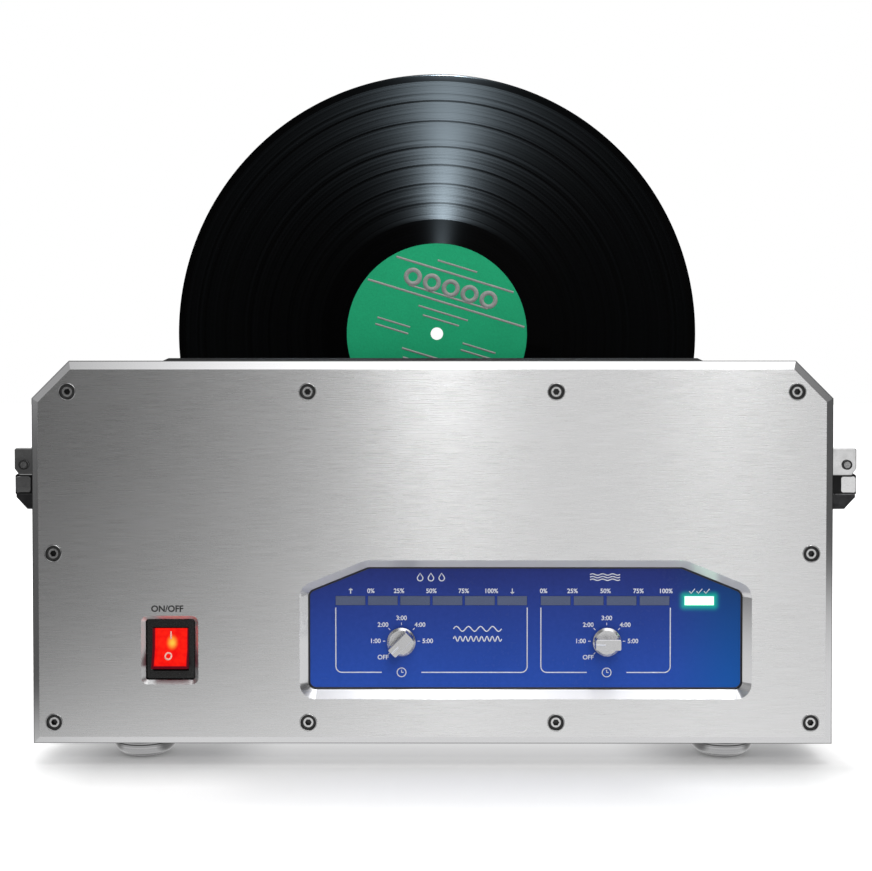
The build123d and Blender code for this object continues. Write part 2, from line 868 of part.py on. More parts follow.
# ---------------------------------------------------------------- wash tank
def tank_profile(wall):
    """The tank's inside seen from the front, drawn out by the wall's thickness."""
    low = tank_floor
    corners = [
        (-tank_floor_half, low),
        (tank_floor_half, low),
        (tank_side_half, low + tank_side_rise),
        (tank_top_half, low + tank_shoulder),
        (tank_top_half, tank_top + tank_wall),
        (-tank_top_half, tank_top + tank_wall),
        (-tank_top_half, low + tank_shoulder),
        (-tank_side_half, low + tank_side_rise),
    ]
    with BuildSketch() as profile:
        Polygon(*corners, align=None)
        if wall:
            offset(amount=wall, kind=Kind.INTERSECTION, mode=Mode.REPLACE)
    return profile.sketch


tank_outside = tank_profile(tank_wall)
tank_inside = tank_profile(0)
tank_front = -tank_wall_y
port_spots = [(fill_port_x, fill_z), (drain_port_x, drain_z)]
roller_spots = [(-roller_x, roller_z), (roller_x, roller_z)]
with BuildPart() as wash_tank:
    with BuildSketch(at_y(tank_wall_y)):
        add(tank_outside)
    extrude(amount=2 * tank_wall_y)
    with BuildSketch(Plane.XY.offset(tank_top - tank_wall)):
        Rectangle(2 * (tank_top_half + tank_flange), 2 * (tank_wall_y + tank_flange))
    extrude(amount=tank_wall)
    with BuildSketch(at_y(tank_half_gap)):
        add(tank_inside)
    extrude(amount=2 * tank_half_gap, mode=Mode.SUBTRACT)
    split(bisect_by=Plane.XY.offset(tank_top), keep=Keep.BOTTOM)
    with BuildSketch(at_y(tank_front)):
        with Locations(*port_spots):
            Circle(nipple_radius)
    extrude(amount=nipple_length)
    with BuildSketch(at_y(tank_front - nipple_length)):
        with Locations(*port_spots):
            Circle(nipple_bore)
    extrude(amount=-(nipple_length + tank_wall), mode=Mode.SUBTRACT)
    with BuildSketch(at_y(tank_wall_y)):
        with Locations(*roller_spots):
            Circle(shaft_radius + contact_gap)
    extrude(amount=tank_wall, mode=Mode.SUBTRACT)

with BuildPart() as tank_support:
    with BuildSketch(at_y(tank_half_gap)):
        with Locations((support_x + support_thickness / 2, (base_top + tank_low) / 2)):
            Rectangle(support_thickness, tank_leg)
        with Locations((support_x + support_foot / 2, base_top + support_thickness / 2)):
            Rectangle(support_foot, support_thickness)
        with Locations((support_x + support_foot / 4, tank_low - support_thickness / 2)):
            Rectangle(support_foot / 2, support_thickness)
    extrude(amount=2 * tank_half_gap)

with BuildPart() as tank_supports:
    add(tank_support.part)
    mirror(tank_support.part, about=Plane.YZ)

transducer_z = tank_low + transducer_rise
transducer_spots = [(-transducer_x, transducer_z), (transducer_x, transducer_z)]
transducer_steps = [  # radius and share of the length: head, two ceramic rings, tail
    (transducer_radius, 0.4),
    (transducer_radius * 0.8, 0.25),
    (transducer_radius * 0.9, 0.35),
]
with BuildPart() as transducers:
    for plane in (Plane.front, Plane.back):
        reach = tank_wall_y
        for radius, share in transducer_steps:
            with BuildSketch(plane.offset(reach)):
                with Locations(*transducer_spots):
                    Circle(radius)
            extrude(amount=share * transducer_length)
            reach += share * transducer_length

# ---------------------------------------------------------------- record and its drive
groove_half = tyre_width / 2 + seat_gap
with BuildPart() as record:
    with BuildSketch(at_y(record_thickness / 2)):
        with Locations((0, record_z)):
            Circle(record_radius)
            Circle(record_hole, mode=Mode.SUBTRACT)
    extrude(amount=record_thickness)

with BuildPart() as record_label:
    for plane in (Plane.front, Plane.back):
        with BuildSketch(plane.offset(record_thickness / 2)):
            with Locations((0, record_z)):
                Circle(label_radius)
                Circle(record_hole, mode=Mode.SUBTRACT)
        extrude(amount=label_thickness)


def turned_on(spot, steps):
    """Solid turned about a line through spot along Y: each step is (from y, to y, radius)."""
    with BuildPart() as turned:
        for start, end, radius in steps:
            with BuildSketch(at_y(end)):
                with Locations(spot):
                    Circle(radius)
            extrude(amount=end - start)
    return turned


def tube_on(spot, start, end, outer, inner):
    """Plain tube about a line through spot along Y."""
    with BuildPart() as tube:
        with BuildSketch(at_y(end)):
            with Locations(spot):
                Circle(outer)
                Circle(inner, mode=Mode.SUBTRACT)
        extrude(amount=end - start)
    return tube


pulley_half = belt_width / 2 + belt_play
pulley_end = pulley_y + pulley_half + pulley_cheek
hub_radius = tyre_radius - tyre_thickness
roller_end = groove_half + roller_flange


def drive_roller(spot):
    """Hub with a flange on both sides of its groove, on one shaft with a seat for the pulley."""
    steps = [
        (-roller_end, -groove_half, roller_flange_radius),
        (-groove_half, groove_half, hub_radius),
        (groove_half, roller_end, roller_flange_radius),
        (roller_end, pulley_end, shaft_radius),
    ]
    return turned_on(spot, steps)


def belt_pulley(spot, radius, bore):
    """Pulley with a cheek on both sides of the belt."""
    with BuildPart() as pulley:
        with BuildSketch(at_y(pulley_end)):
            with Locations(spot):
                Circle(radius + pulley_flange)
        extrude(amount=2 * (pulley_half + pulley_cheek))
        with BuildSketch(at_y(pulley_y + pulley_half)):
            with Locations(spot):
                Circle(radius + 2 * pulley_flange)
                Circle(radius, mode=Mode.SUBTRACT)
        extrude(amount=2 * pulley_half, mode=Mode.SUBTRACT)
        with BuildSketch(at_y(pulley_end)):
            with Locations(spot):
                Circle(bore)
        extrude(amount=2 * (pulley_half + pulley_cheek), mode=Mode.SUBTRACT)
    return pulley


roller_left = drive_roller(roller_spots[0])
roller_right = drive_roller(roller_spots[1])
tyre_bore = hub_radius + running_gap / 2
roller_tyre_left = tube_on(roller_spots[0], -tyre_width / 2, tyre_width / 2, tyre_radius, tyre_bore)
roller_tyre_right = tube_on(roller_spots[1], -tyre_width / 2, tyre_width / 2, tyre_radius, tyre_bore)
roller_pulley_left = belt_pulley(roller_spots[0], pulley_radius, shaft_radius + running_gap / 2)
roller_pulley_right = belt_pulley(roller_spots[1], pulley_radius, shaft_radius + running_gap / 2)

with BuildPart() as shaft_bearings:
    with BuildSketch(at_y(tank_wall_y + bearing_length)):
        with Locations(*roller_spots):
            Circle(bearing_radius)
            Circle(shaft_radius + running_gap, mode=Mode.SUBTRACT)
    extrude(amount=bearing_length)

motor_spot = (0, motor_z)
motor_front = pulley_end + seat_gap + bracket_thickness


def belt_outline(grow):
    """Hull round the three pulleys, grown by a distance."""
    with BuildSketch() as outline:
        with Locations(*roller_spots):
            Circle(pulley_radius + belt_gap + grow)
        with Locations(motor_spot):
            Circle(motor_pulley_radius + belt_gap + grow)
        make_hull()
    return outline.sketch


belt_outside = belt_outline(belt_thickness)
belt_inside = belt_outline(0)
with BuildPart() as drive_belt:
    with BuildSketch(at_y(pulley_y + belt_width / 2)):
        add(belt_outside)
        add(belt_inside, mode=Mode.SUBTRACT)
    extrude(amount=belt_width)

motor_wheel = belt_pulley(motor_spot, motor_pulley_radius, motor_shaft_radius + running_gap / 2)
with BuildPart() as motor_pulley:
    add(motor_wheel.part)
    with BuildSketch(at_y(motor_front + motor_shaft_depth)):
        with Locations(motor_spot):
            Circle(motor_shaft_radius)
    extrude(amount=motor_front + motor_shaft_depth - pulley_y + pulley_half + pulley_cheek)

with BuildPart() as motor_bracket:
    with BuildSketch(at_y(motor_front)):
        with Locations((0, (base_top + motor_z + motor_radius) / 2)):
            Rectangle(2 * bracket_half, motor_z + motor_radius - base_top)
        with Locations(motor_spot):
            Circle(motor_shaft_radius + 1, mode=Mode.SUBTRACT)
    extrude(amount=bracket_thickness)
    with BuildSketch(Plane.XY.offset(base_top)):
        with Locations((0, motor_front + bracket_foot / 2)):
            Rectangle(2 * bracket_half, bracket_foot)
    extrude(amount=bracket_thickness)

with BuildPart() as drive_motor:
    with BuildSketch(at_y(motor_front + motor_length)):
        with Locations(motor_spot):
            Circle(motor_radius)
    extrude(amount=motor_length)
    with BuildSketch(at_y(motor_front)):
        with Locations(motor_spot):
            Circle(motor_shaft_radius + running_gap)
    extrude(amount=-(motor_shaft_depth + seat_gap), mode=Mode.SUBTRACT)

# ---------------------------------------------------------------- drying air
knife_y = knife_offset + knife_width / 2
knife_z = tank_top + knife_height / 2
knife_half = tank_top_half + tank_wall + tank_flange / 2
knife_bore = (knife_width - 2 * knife_wall, knife_height - 2 * knife_wall)
with BuildPart() as air_knives:
    with BuildSketch(at_x(-knife_half)):
        with Locations((-knife_y, knife_z), (knife_y, knife_z)):
            Rectangle(knife_width, knife_height)
            Rectangle(*knife_bore, mode=Mode.SUBTRACT)
        with Locations((-knife_offset, knife_z), (knife_offset, knife_z)):
            Rectangle(2 * knife_wall + seat_gap, knife_slit, mode=Mode.SUBTRACT)
    extrude(amount=2 * knife_half)

duct_start = knife_half + seat_gap
duct_end = blower_x + blower_width
duct_length = duct_end - duct_start
mouth_low = blower_y - blower_radius
duct_back = mouth_low + blower_mouth
with BuildPart() as air_duct:
    with BuildSketch(Plane.XY.offset(tank_top)):
        with Locations(((duct_start + duct_end) / 2, (duct_back - duct_front) / 2)):
            Rectangle(duct_length, duct_front + duct_back)
    extrude(amount=duct_height)
    with BuildSketch(at_y(duct_back)):
        case_outline(frame_inset + duct_gap)
    extrude(amount=duct_front + duct_back, mode=Mode.INTERSECT)
    offset(amount=-duct_wall, kind=Kind.INTERSECTION, mode=Mode.SUBTRACT)
    with BuildSketch(at_x(duct_start)):
        with Locations((-knife_y, knife_z), (knife_y, knife_z)):
            Rectangle(*knife_bore)
    extrude(amount=duct_wall, mode=Mode.SUBTRACT)
    with BuildSketch(Plane.XY.offset(tank_top)):
        with Locations((blower_x + blower_width / 2, (mouth_low + duct_back) / 2)):
            Rectangle(blower_room, blower_mouth - 2 * blower_wall)
    extrude(amount=duct_wall, mode=Mode.SUBTRACT)

with BuildPart() as air_ducts:
    add(air_duct.part)
    mirror(air_duct.part, about=Plane.YZ)


def blower_section(wall):
    """Round casing with its mouth upwards, drawn in by the wall's thickness."""
    mouth = blower_mouth - 2 * wall
    with BuildSketch() as section:
        with Locations((blower_y, blower_z)):
            Circle(blower_radius - wall)
        with Locations(((mouth_low + duct_back) / 2, (blower_z + tank_top) / 2)):
            Rectangle(mouth, tank_top - blower_z)
    return section.sketch


blower_outside = blower_section(0)
blower_inside = blower_section(blower_wall)
blower_axis = (blower_y, blower_z)
with BuildPart() as blower_right:
    with BuildSketch(at_x(blower_x)):
        add(blower_outside)
    extrude(amount=blower_width)
    with BuildSketch(at_x(blower_x + blower_wall)):
        add(blower_inside)
    extrude(amount=blower_room, mode=Mode.SUBTRACT)
    with BuildSketch(at_x(blower_x + blower_width)):
        with Locations(blower_axis):
            Circle(blower_inlet)
    extrude(amount=-blower_wall, mode=Mode.SUBTRACT)
    with BuildSketch(at_x(blower_x + blower_wall)):
        with Locations(blower_axis):
            Circle(stub_base_radius)
    extrude(amount=stub_base)
    with BuildSketch(at_x(blower_x + blower_wall + stub_base)):
        with Locations(blower_axis):
            Circle(stub_radius)
    extrude(amount=stub_length)

impeller_x = blower_x + blower_wall + stub_base + impeller_gap
with BuildPart() as impeller_right:
    with BuildSketch(at_x(impeller_x)):
        with Locations(blower_axis):
            Circle(impeller_radius)
    extrude(amount=impeller_plate)
    with BuildSketch(at_x(impeller_x)):
        with Locations(blower_axis):
            Circle(impeller_hub)
            with PolarLocations((impeller_eye + impeller_radius) / 2, impeller_blades):
                Rectangle(impeller_radius - impeller_eye, blade_thickness)
    extrude(amount=impeller_depth)
    with BuildSketch(at_x(impeller_x)):
        with Locations(blower_axis):
            Circle(stub_radius + running_gap)
    extrude(amount=impeller_depth, mode=Mode.SUBTRACT)

blower_left = mirrored(blower_right)
impeller_left = mirrored(impeller_right)

# ---------------------------------------------------------------- water
reservoir_top = tank_low - reservoir_headroom
reservoir_middle = (reservoir_front + reservoir_back) / 2


def nipples(ports, root):
    """Hose nipples on (plane, place) pairs, each going on into the body by its root."""
    standing = (Align.CENTER, Align.CENTER, Align.MIN)
    for plane, place in ports:
        with Locations(plane):
            with Locations((*place, -root)):
                Cylinder(nipple_radius, nipple_length + root, align=standing)
                Cylinder(nipple_bore, nipple_length + root, align=standing, mode=Mode.SUBTRACT)


with BuildPart() as reservoir:
    with BuildSketch(Plane.XY.offset(base_top)):
        with Locations((0, reservoir_middle)):
            RectangleRounded(2 * reservoir_half, reservoir_back - reservoir_front, 4)
    extrude(amount=reservoir_top - base_top)
    offset(amount=-reservoir_wall, kind=Kind.INTERSECTION, mode=Mode.SUBTRACT)
    ports = [
        (Plane.left.offset(reservoir_half), (-service_y, port_z)),
        (Plane.right.offset(reservoir_half), (service_y, port_z)),
        (Plane.back.offset(reservoir_back), (-valve_feed_x, port_z)),
    ]
    nipples(ports, reservoir_wall)

pump_front = service_y - pump_head_length / 2
pump_middle = service_y + pump_head_length / 2
pump_end = pump_middle + pump_motor_length
with BuildPart() as pump:
    with BuildSketch(at_y(pump_middle)):
        with Locations((pump_x, pump_z)):
            Circle(pump_head_radius)
    extrude(amount=pump_head_length)
    with BuildSketch(at_y(pump_end)):
        with Locations((pump_x, pump_z)):
            Circle(pump_motor_radius)
    extrude(amount=pump_motor_length)
    with BuildSketch(Plane.XY.offset(base_top)):
        with Locations((pump_x, (pump_front + pump_end) / 2)):
            Rectangle(2 * pump_foot_half, pump_end - pump_front)
    extrude(amount=pump_z - base_top)
    pump_ports = [
        (Plane.right.offset(pump_x + pump_head_radius), (service_y, port_z)),
        (Plane.XY.offset(pump_z + pump_head_radius), (pump_x, service_y)),
    ]
    nipples(pump_ports, nipple_radius)

with BuildPart() as water_filter:
    with BuildSketch(Plane.XY.offset(base_top)):
        with Locations((filter_x, service_y)):
            Circle(filter_radius)
    extrude(amount=filter_height)
    with BuildSketch(Plane.XY.offset(base_top + filter_height - filter_cap)):
        with Locations((filter_x, service_y)):
            Circle(filter_cap_radius)
    extrude(amount=filter_cap)
    filter_ports = [
        (Plane.left.offset(filter_radius - filter_x), (-service_y, port_z)),
        (Plane.left.offset(filter_radius - filter_x), (-service_y, filter_z)),
    ]
    nipples(filter_ports, nipple_radius)

with BuildPart() as drain_valve:
    with BuildSketch(Plane.XY.offset(base_top)):
        with Locations((valve_x, valve_y)):
            Rectangle(valve_size, valve_size)
    extrude(amount=valve_rise + valve_size / 2)
    with BuildSketch(Plane.XY.offset(valve_z + valve_size / 2)):
        with Locations((valve_x, valve_y)):
            Circle(coil_radius)
    extrude(amount=coil_height)
    spigot_end = rear_y + spigot_reach
    with BuildSketch(at_y(rear_y)):
        with Locations((valve_x, valve_z)):
            Circle(spigot_radius + spigot_shoulder)
    extrude(amount=rear_y - valve_y)
    with BuildSketch(at_y(spigot_end)):
        with Locations((valve_x, valve_z)):
            Circle(spigot_radius)
    extrude(amount=spigot_reach)
    with BuildSketch(at_y(spigot_end)):
        with Locations((valve_x, valve_z)):
            Circle(spigot_bore)
    extrude(amount=spigot_end - valve_y, mode=Mode.SUBTRACT)
    nipples([(Plane.right.offset(valve_x + valve_size / 2), (valve_y, valve_z))], nipple_radius)


def hose(points):
    """Hose pushed over its nipples, along straight runs joined by bends."""
    with BuildPart() as tube:
        with BuildLine() as path:
            if len(points) > 2:
                FilletPolyline(*points, radius=hose_bend)
            else:
                Line(*points)
        with BuildSketch(Plane(origin=path.line @ 0, z_dir=path.line % 0)):
            Circle(hose_radius)
            Circle(hose_bore, mode=Mode.SUBTRACT)
        sweep()
    return tube.part


pump_top = pump_z + pump_head_radius
port_front = tank_front - seat_gap
left_port = -reservoir_half - seat_gap
right_port = reservoir_half + seat_gap
pump_side = pump_x + pump_head_radius + seat_gap
filter_side = filter_x - filter_radius - seat_gap
valve_side = valve_x + valve_size / 2 + seat_gap
back_port = reservoir_back + seat_gap
hoses = [
    hose([(left_port, service_y, port_z), (pump_side, service_y, port_z)]),
    hose([(right_port, service_y, port_z), (filter_side, service_y, port_z)]),
    hose([
        (pump_x, service_y, pump_top + seat_gap),
        (pump_x, service_y, fill_z),
        (fill_port_x, service_y, fill_z),
        (fill_port_x, port_front, fill_z),
    ]),
    hose([
        (drain_port_x, port_front, drain_z),
        (drain_port_x, service_y, drain_z),
        (filter_side, service_y, filter_z),
    ]),
    hose([
        (valve_feed_x, back_port, port_z),
        (valve_feed_x, valve_y, port_z),
        (valve_feed_x, valve_y, valve_z),
        (valve_side, valve_y, valve_z),
    ]),
]
with BuildPart() as water_hoses:
    for piece in hoses:
        add(piece)

# ---------------------------------------------------------------- power and control
with BuildPart() as mains_inlet:
    with BuildSketch(at_y(rear_y + inlet_flange)):
        with Locations((inlet_x, inlet_z)):
            RectangleRounded(inlet_flange_width, inlet_flange_height, 3)
    extrude(amount=inlet_flange)
    with BuildSketch(at_y(rear_y)):
        with Locations((inlet_x, inlet_z)):
            Rectangle(inlet_width, inlet_height)
    extrude(amount=inlet_depth)
    with BuildSketch(at_y(rear_y + inlet_flange)):
        with Locations((inlet_x, inlet_z)):
            Rectangle(inlet_mouth_width, inlet_mouth_height)
    extrude(amount=inlet_mouth_depth, mode=Mode.SUBTRACT)
    with BuildSketch(at_y(rear_y)):
        with Locations((inlet_x, inlet_z - blade_height / 2)):
            with GridLocations(blade_pitch, 0, 3, 1):
                Rectangle(blade_width, blade_height)
    extrude(amount=inlet_mouth_depth - inlet_flange)

supply_back = rear_inner - supply_back_gap
with BuildPart() as power_supply:
    with BuildSketch(Plane.XY.offset(base_top)):
        with Locations((supply_x, supply_back - supply_depth / 2)):
            Rectangle(supply_width, supply_depth)
    extrude(amount=supply_height)
    chamfer(power_supply.edges().group_by(Axis.Z)[-1], length=1)

circuit_z = base_top + circuit_rise + circuit_height / 2
circuit_back = rear_inner - circuit_standoff
relay_step = circuit_width / 4
circuit_spacers_x = circuit_width - 2 * circuit_margin
circuit_spacers_z = circuit_height - 2 * circuit_margin
can_x = circuit_width / 2 - 2 * can_radius
with BuildPart() as circuit_boards:
    for side in (-1, 1):
        with BuildSketch(at_y(circuit_back)):
            with Locations((side * circuit_x, circuit_z)):
                Rectangle(circuit_width, circuit_height)
        extrude(amount=board_thickness)
        with BuildSketch(at_y(rear_inner)):
            with Locations((side * circuit_x, circuit_z)):
                with GridLocations(circuit_spacers_x, circuit_spacers_z, 2, 2):
                    Circle(spacer_radius)
        extrude(amount=circuit_standoff)
    front_face = circuit_back - board_thickness
    low_row = circuit_z - circuit_row
    high_row = circuit_z + circuit_row
    with BuildSketch(at_y(front_face)):
        with Locations((-circuit_x - relay_step, high_row), (-circuit_x + relay_step, high_row)):
            Rectangle(relay_width, relay_height)
        with Locations((circuit_x - relay_step, low_row), (circuit_x + can_radius, low_row)):
            Rectangle(choke_width, choke_height)
        with Locations((circuit_x - circuit_row, high_row)):
            Rectangle(heat_sink_width, heat_sink_height)
    extrude(amount=low_part)
    with BuildSketch(at_y(front_face)):
        with Locations((circuit_x + can_x, low_row), (circuit_x + can_x, high_row)):
            Circle(can_radius)
        with Locations((-circuit_x, low_row)):
            Circle(small_can_radius)
    extrude(amount=tall_part)

pieces = {
    "front_plate": front_plate,
    "front_frame": front_frame,
    "rear_plate": rear_plate,
    "rear_frame": rear_frame,
    "chassis_tray": chassis_tray,
    "top_cover": top_cover,
    "slot_bezel": slot_bezel,
    "front_screws": front_screws,
    "case_screws": case_screws,
    **feet,
    "foot_pads": foot_pads,
    "display_panel": display_panel,
    "indicator_bars": indicator_bars,
    "completed_bar": completed_bar,
    "display_board": display_board,
    "rotary_switches": rotary_switches,
    "washing_knob": washing_knob,
    "drying_knob": drying_knob,
    "power_switch_housing": power_switch_housing,
    "power_rocker": power_rocker,
    "handle_bracket_left": handle_bracket_left,
    "handle_bracket_right": handle_bracket_right,
    "handle_left": handle_left,
    "handle_right": handle_right,
    "handle_pins": handle_pins,
    "wash_tank": wash_tank,
    "tank_supports": tank_supports,
    "transducers": transducers,
    "record": record,
    "record_label": record_label,
    "roller_left": roller_left,
    "roller_right": roller_right,
    "roller_tyre_left": roller_tyre_left,
    "roller_tyre_right": roller_tyre_right,
    "roller_pulley_left": roller_pulley_left,
    "roller_pulley_right": roller_pulley_right,
    "shaft_bearings": shaft_bearings,
    "drive_belt": drive_belt,
    "motor_pulley": motor_pulley,
    "motor_bracket": motor_bracket,
    "drive_motor": drive_motor,
    "air_knives": air_knives,
    "air_ducts": air_ducts,
    "blower_left": blower_left,
    "blower_right": blower_right,
    "impeller_left": impeller_left,
    "impeller_right": impeller_right,
    "reservoir": reservoir,
    "pump": pump,
    "water_filter": water_filter,
    "drain_valve": drain_valve,
    "water_hoses": water_hoses,
    "mains_inlet": mains_inlet,
    "power_supply": power_supply,
    "circuit_boards": circuit_boards,
}
for name, piece in pieces.items():
    piece.part.label = name
    export_step(piece.part, f"parts/{name}.step")
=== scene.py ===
# %% [markdown]
# # A record cleaner for the desk
# The machine is a metal box with a slot on top. A record stands in the slot, two driven
# rollers turn it through a bath that is shaken by ultrasound, and air knives dry it. The
# drawing of the box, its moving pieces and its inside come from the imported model, which
# stays as it is. This file gives every surface its finish and adds what a drawing of solids
# leaves out: print, marks, the turned record and the studio around it.

# %% Frame
import json
import math

import bmesh
import bpy
from mathutils import Matrix, Vector
from mathutils.bvhtree import BVHTree

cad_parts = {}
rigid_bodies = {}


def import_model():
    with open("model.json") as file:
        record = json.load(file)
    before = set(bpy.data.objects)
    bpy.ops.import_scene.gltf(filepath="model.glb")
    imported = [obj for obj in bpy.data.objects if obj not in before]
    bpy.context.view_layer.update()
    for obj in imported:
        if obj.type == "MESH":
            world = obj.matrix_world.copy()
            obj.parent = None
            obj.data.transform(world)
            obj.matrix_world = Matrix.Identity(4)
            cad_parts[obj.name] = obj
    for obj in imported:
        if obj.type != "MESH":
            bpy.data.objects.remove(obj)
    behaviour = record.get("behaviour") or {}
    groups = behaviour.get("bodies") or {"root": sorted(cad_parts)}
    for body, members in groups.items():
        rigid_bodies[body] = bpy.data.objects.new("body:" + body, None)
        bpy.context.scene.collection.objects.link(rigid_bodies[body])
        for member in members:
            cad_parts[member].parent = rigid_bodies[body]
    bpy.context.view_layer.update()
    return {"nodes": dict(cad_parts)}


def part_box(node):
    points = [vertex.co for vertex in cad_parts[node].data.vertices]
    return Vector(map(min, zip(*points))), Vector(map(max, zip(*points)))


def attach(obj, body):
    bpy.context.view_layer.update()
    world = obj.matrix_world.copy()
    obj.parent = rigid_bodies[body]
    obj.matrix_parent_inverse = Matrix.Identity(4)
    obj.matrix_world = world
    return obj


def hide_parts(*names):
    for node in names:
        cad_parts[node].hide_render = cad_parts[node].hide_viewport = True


for thing in list(bpy.data.objects):
    bpy.data.objects.remove(thing)
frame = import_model()
mm = 0.001

# %% [markdown]
# ## Places taken from the model
# The model says where the plate, the display and the dials are, and the print and the marks
# are set out from those places. Lengths are in metres, X runs to the right, Y to the back and
# Z up.


# %% Places
def box_of(node):
    return [Vector(corner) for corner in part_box(node)]


def middle(node):
    low, high = box_of(node)
    return (low + high) / 2


plate_low, plate_high = box_of("front_plate")
panel_low, panel_high = box_of("display_panel")
bars_low, bars_high = box_of("indicator_bars")
done_low, done_high = box_of("completed_bar")
rocker_low, rocker_high = box_of("power_rocker")
foot_low, foot_high = box_of("foot_front_left")
done_middle = middle("completed_bar")
done_half = (done_high - done_low) / 2
washing_dial, drying_dial = middle("washing_knob"), middle("drying_knob")
dials = (washing_dial, drying_dial)
switch_middle = middle("power_rocker")
record_middle = middle("record")
print("plate", tuple(round(v / mm, 1) for v in plate_high - plate_low), "mm")

# %% [markdown]
# ## Camera
# The machine is looked at from straight in front, from about the height of its top and from
# less than a metre away, so the slot on top is seen almost edge on. The aim is mostly a shift
# of the view, with a tilt of about a degree, because a turned camera makes upright edges lean.

# %% Camera
dip, swing = math.radians(1.2355), math.radians(0.168)
camera_data = bpy.data.cameras.new("camera")
camera_data.lens = 58.739
camera_data.sensor_width = 36.0
camera_data.shift_x = -0.03857
camera_data.shift_y = -0.05035
camera = bpy.data.objects.new("camera", camera_data)
camera.location = (0.02156, -0.83135, 0.20938)
camera.rotation_euler = (math.pi / 2 - dip, 0.0, swing)
bpy.context.scene.collection.objects.link(camera)
bpy.context.scene.camera = camera
bpy.context.scene.view_settings.view_transform = "Standard"
print("camera at", tuple(round(v, 3) for v in camera.location))

# %% [markdown]
# ## A few lines that save many
# Shaders and Geometry Nodes are both trees of nodes. One helper adds a node, sets its
# properties and fills its inputs, and an input may be a plain value or the output of another
# node. The others stand for the sums that return again and again, and find their tree from
# the outputs that they are given, so a tree reads like arithmetic.


# %% Node helpers
def add_node(tree, kind, inputs=None, **settings):
    node = tree.nodes.new(kind)
    for name, value in settings.items():
        setattr(node, name, value)
    for key, value in (inputs or {}).items():
        socket = node.inputs[key]
        if isinstance(value, bpy.types.NodeSocket):
            tree.links.new(value, socket)
        else:
            socket.default_value = value
    return node


def output_of(tree, kind, inputs=None, **settings):
    return add_node(tree, kind, inputs, **settings).outputs[0]


def tree_of(*values):
    return next(value.id_data for value in values if isinstance(value, bpy.types.NodeSocket))


def calculate(operation, first, second=0.0, third=None, clamp=False):
    inputs = {0: first, 1: second}
    if third is not None:
        inputs[2] = third
    return output_of(tree_of(first, second), "ShaderNodeMath", inputs, operation=operation, use_clamp=clamp)


def product(first, *factors):
    for factor in factors:
        first = calculate("MULTIPLY", first, factor)
    return first


def highest(first, *others):
    for other in others:
        first = calculate("MAXIMUM", first, other)
    return first


def distance(value, place):
    return calculate("ABSOLUTE", calculate("SUBTRACT", value, place))


def map_range(value, low, high, to_low=0.0, to_high=1.0, kind="LINEAR"):
    inputs = {"Value": value, "From Min": low, "From Max": high, "To Min": to_low, "To Max": to_high}
    return output_of(tree_of(value), "ShaderNodeMapRange", inputs, interpolation_type=kind)


def ramp(value, low, high, to_low=0.0, to_high=1.0):
    """The same with soft ends."""
    return map_range(value, low, high, to_low, to_high, "SMOOTHSTEP")


def mix(factor, first, second):
    return output_of(tree_of(factor), "ShaderNodeMix", {0: factor, 2: first, 3: second})


def mix_colours(factor, first, second):
    inputs = {0: factor, 6: first, 7: second}
    return add_node(tree_of(factor), "ShaderNodeMix", inputs, data_type="RGBA").outputs[2]


def vector(operation, first, second=None):
    inputs = {0: first} if second is None else {0: first, 1: second}
    node = add_node(tree_of(first), "ShaderNodeVectorMath", inputs, operation=operation)
    return node.outputs["Value" if operation == "LENGTH" else "Vector"]


def combine(tree, x=0.0, y=0.0, z=0.0):
    return output_of(tree, "ShaderNodeCombineXYZ", {0: x, 1: y, 2: z})


def split(value):
    return add_node(tree_of(value), "ShaderNodeSeparateXYZ", {0: value}).outputs


def noise(place, scale, detail, on_a_line=False, **more):
    inputs = {"W" if on_a_line else "Vector": place, "Scale": scale, "Detail": detail, **more}
    kind = "1D" if on_a_line else "3D"
    return output_of(tree_of(place), "ShaderNodeTexNoise", inputs, noise_dimensions=kind)


def seen_from(tree, title="Object"):
    return add_node(tree, "ShaderNodeTexCoord").outputs[title]


def rgb(red, green, blue):
    return (red, green, blue, 1.0)


def grey(level):
    return rgb(level, level, level)


def piece(name, mesh, *materials):
    made = bpy.data.objects.new(name, mesh)
    bpy.context.scene.collection.objects.link(made)
    for material in materials:
        mesh.materials.append(material)
    return made


print("node helpers ready")

# %% [markdown]
# ## The studio
# Brushed metal has hardly any colour of its own: it shows the room. Here the room is a tent
# that is bright at the front right and overhead, and dark at the front left and at both
# sides. The plate turns from mid grey on its left to nearly white on its right because of
# it, and the dark sides draw its edges. The room is made from the direction of each ray in
# the world's shader, where across goes from -1 on the left to 1 on the right. It costs
# nothing to render, and the camera itself sees plain white.

# %% World
world = bpy.data.worlds.new("studio")
bpy.context.scene.world = world
world.use_nodes = True
sky = world.node_tree
sky.nodes.clear()
across, depth, height = split(seen_from(sky, "Generated"))
front_level = map_range(ramp(across, -0.29, 0.09), 0.0, 1.0, 0.105, 0.62)
front_level = mix_colours(ramp(across, -0.45, -0.75), front_level, grey(0.38))
front_level = mix_colours(ramp(across, 0.42, 0.62), front_level, grey(0.12))
above = ramp(across, -0.42, 0.0, 0.18, 1.60)
above = mix_colours(ramp(across, 0.45, 0.85), above, grey(0.60))
level = mix_colours(ramp(height, 0.45, 0.85), front_level, above)
inwards = ramp(calculate("ABSOLUTE", across), 0.55, 0.85, 1.0, 0.0)
behind = product(ramp(depth, 0.05, 0.30), inwards)
level = mix_colours(behind, level, grey(0.85))
rays = add_node(sky, "ShaderNodeLightPath")
level = mix_colours(rays.outputs["Is Camera Ray"], level, grey(1.0))
background = output_of(sky, "ShaderNodeBackground", {"Color": level, "Strength": 1.0})
add_node(sky, "ShaderNodeOutputWorld", {"Surface": background})
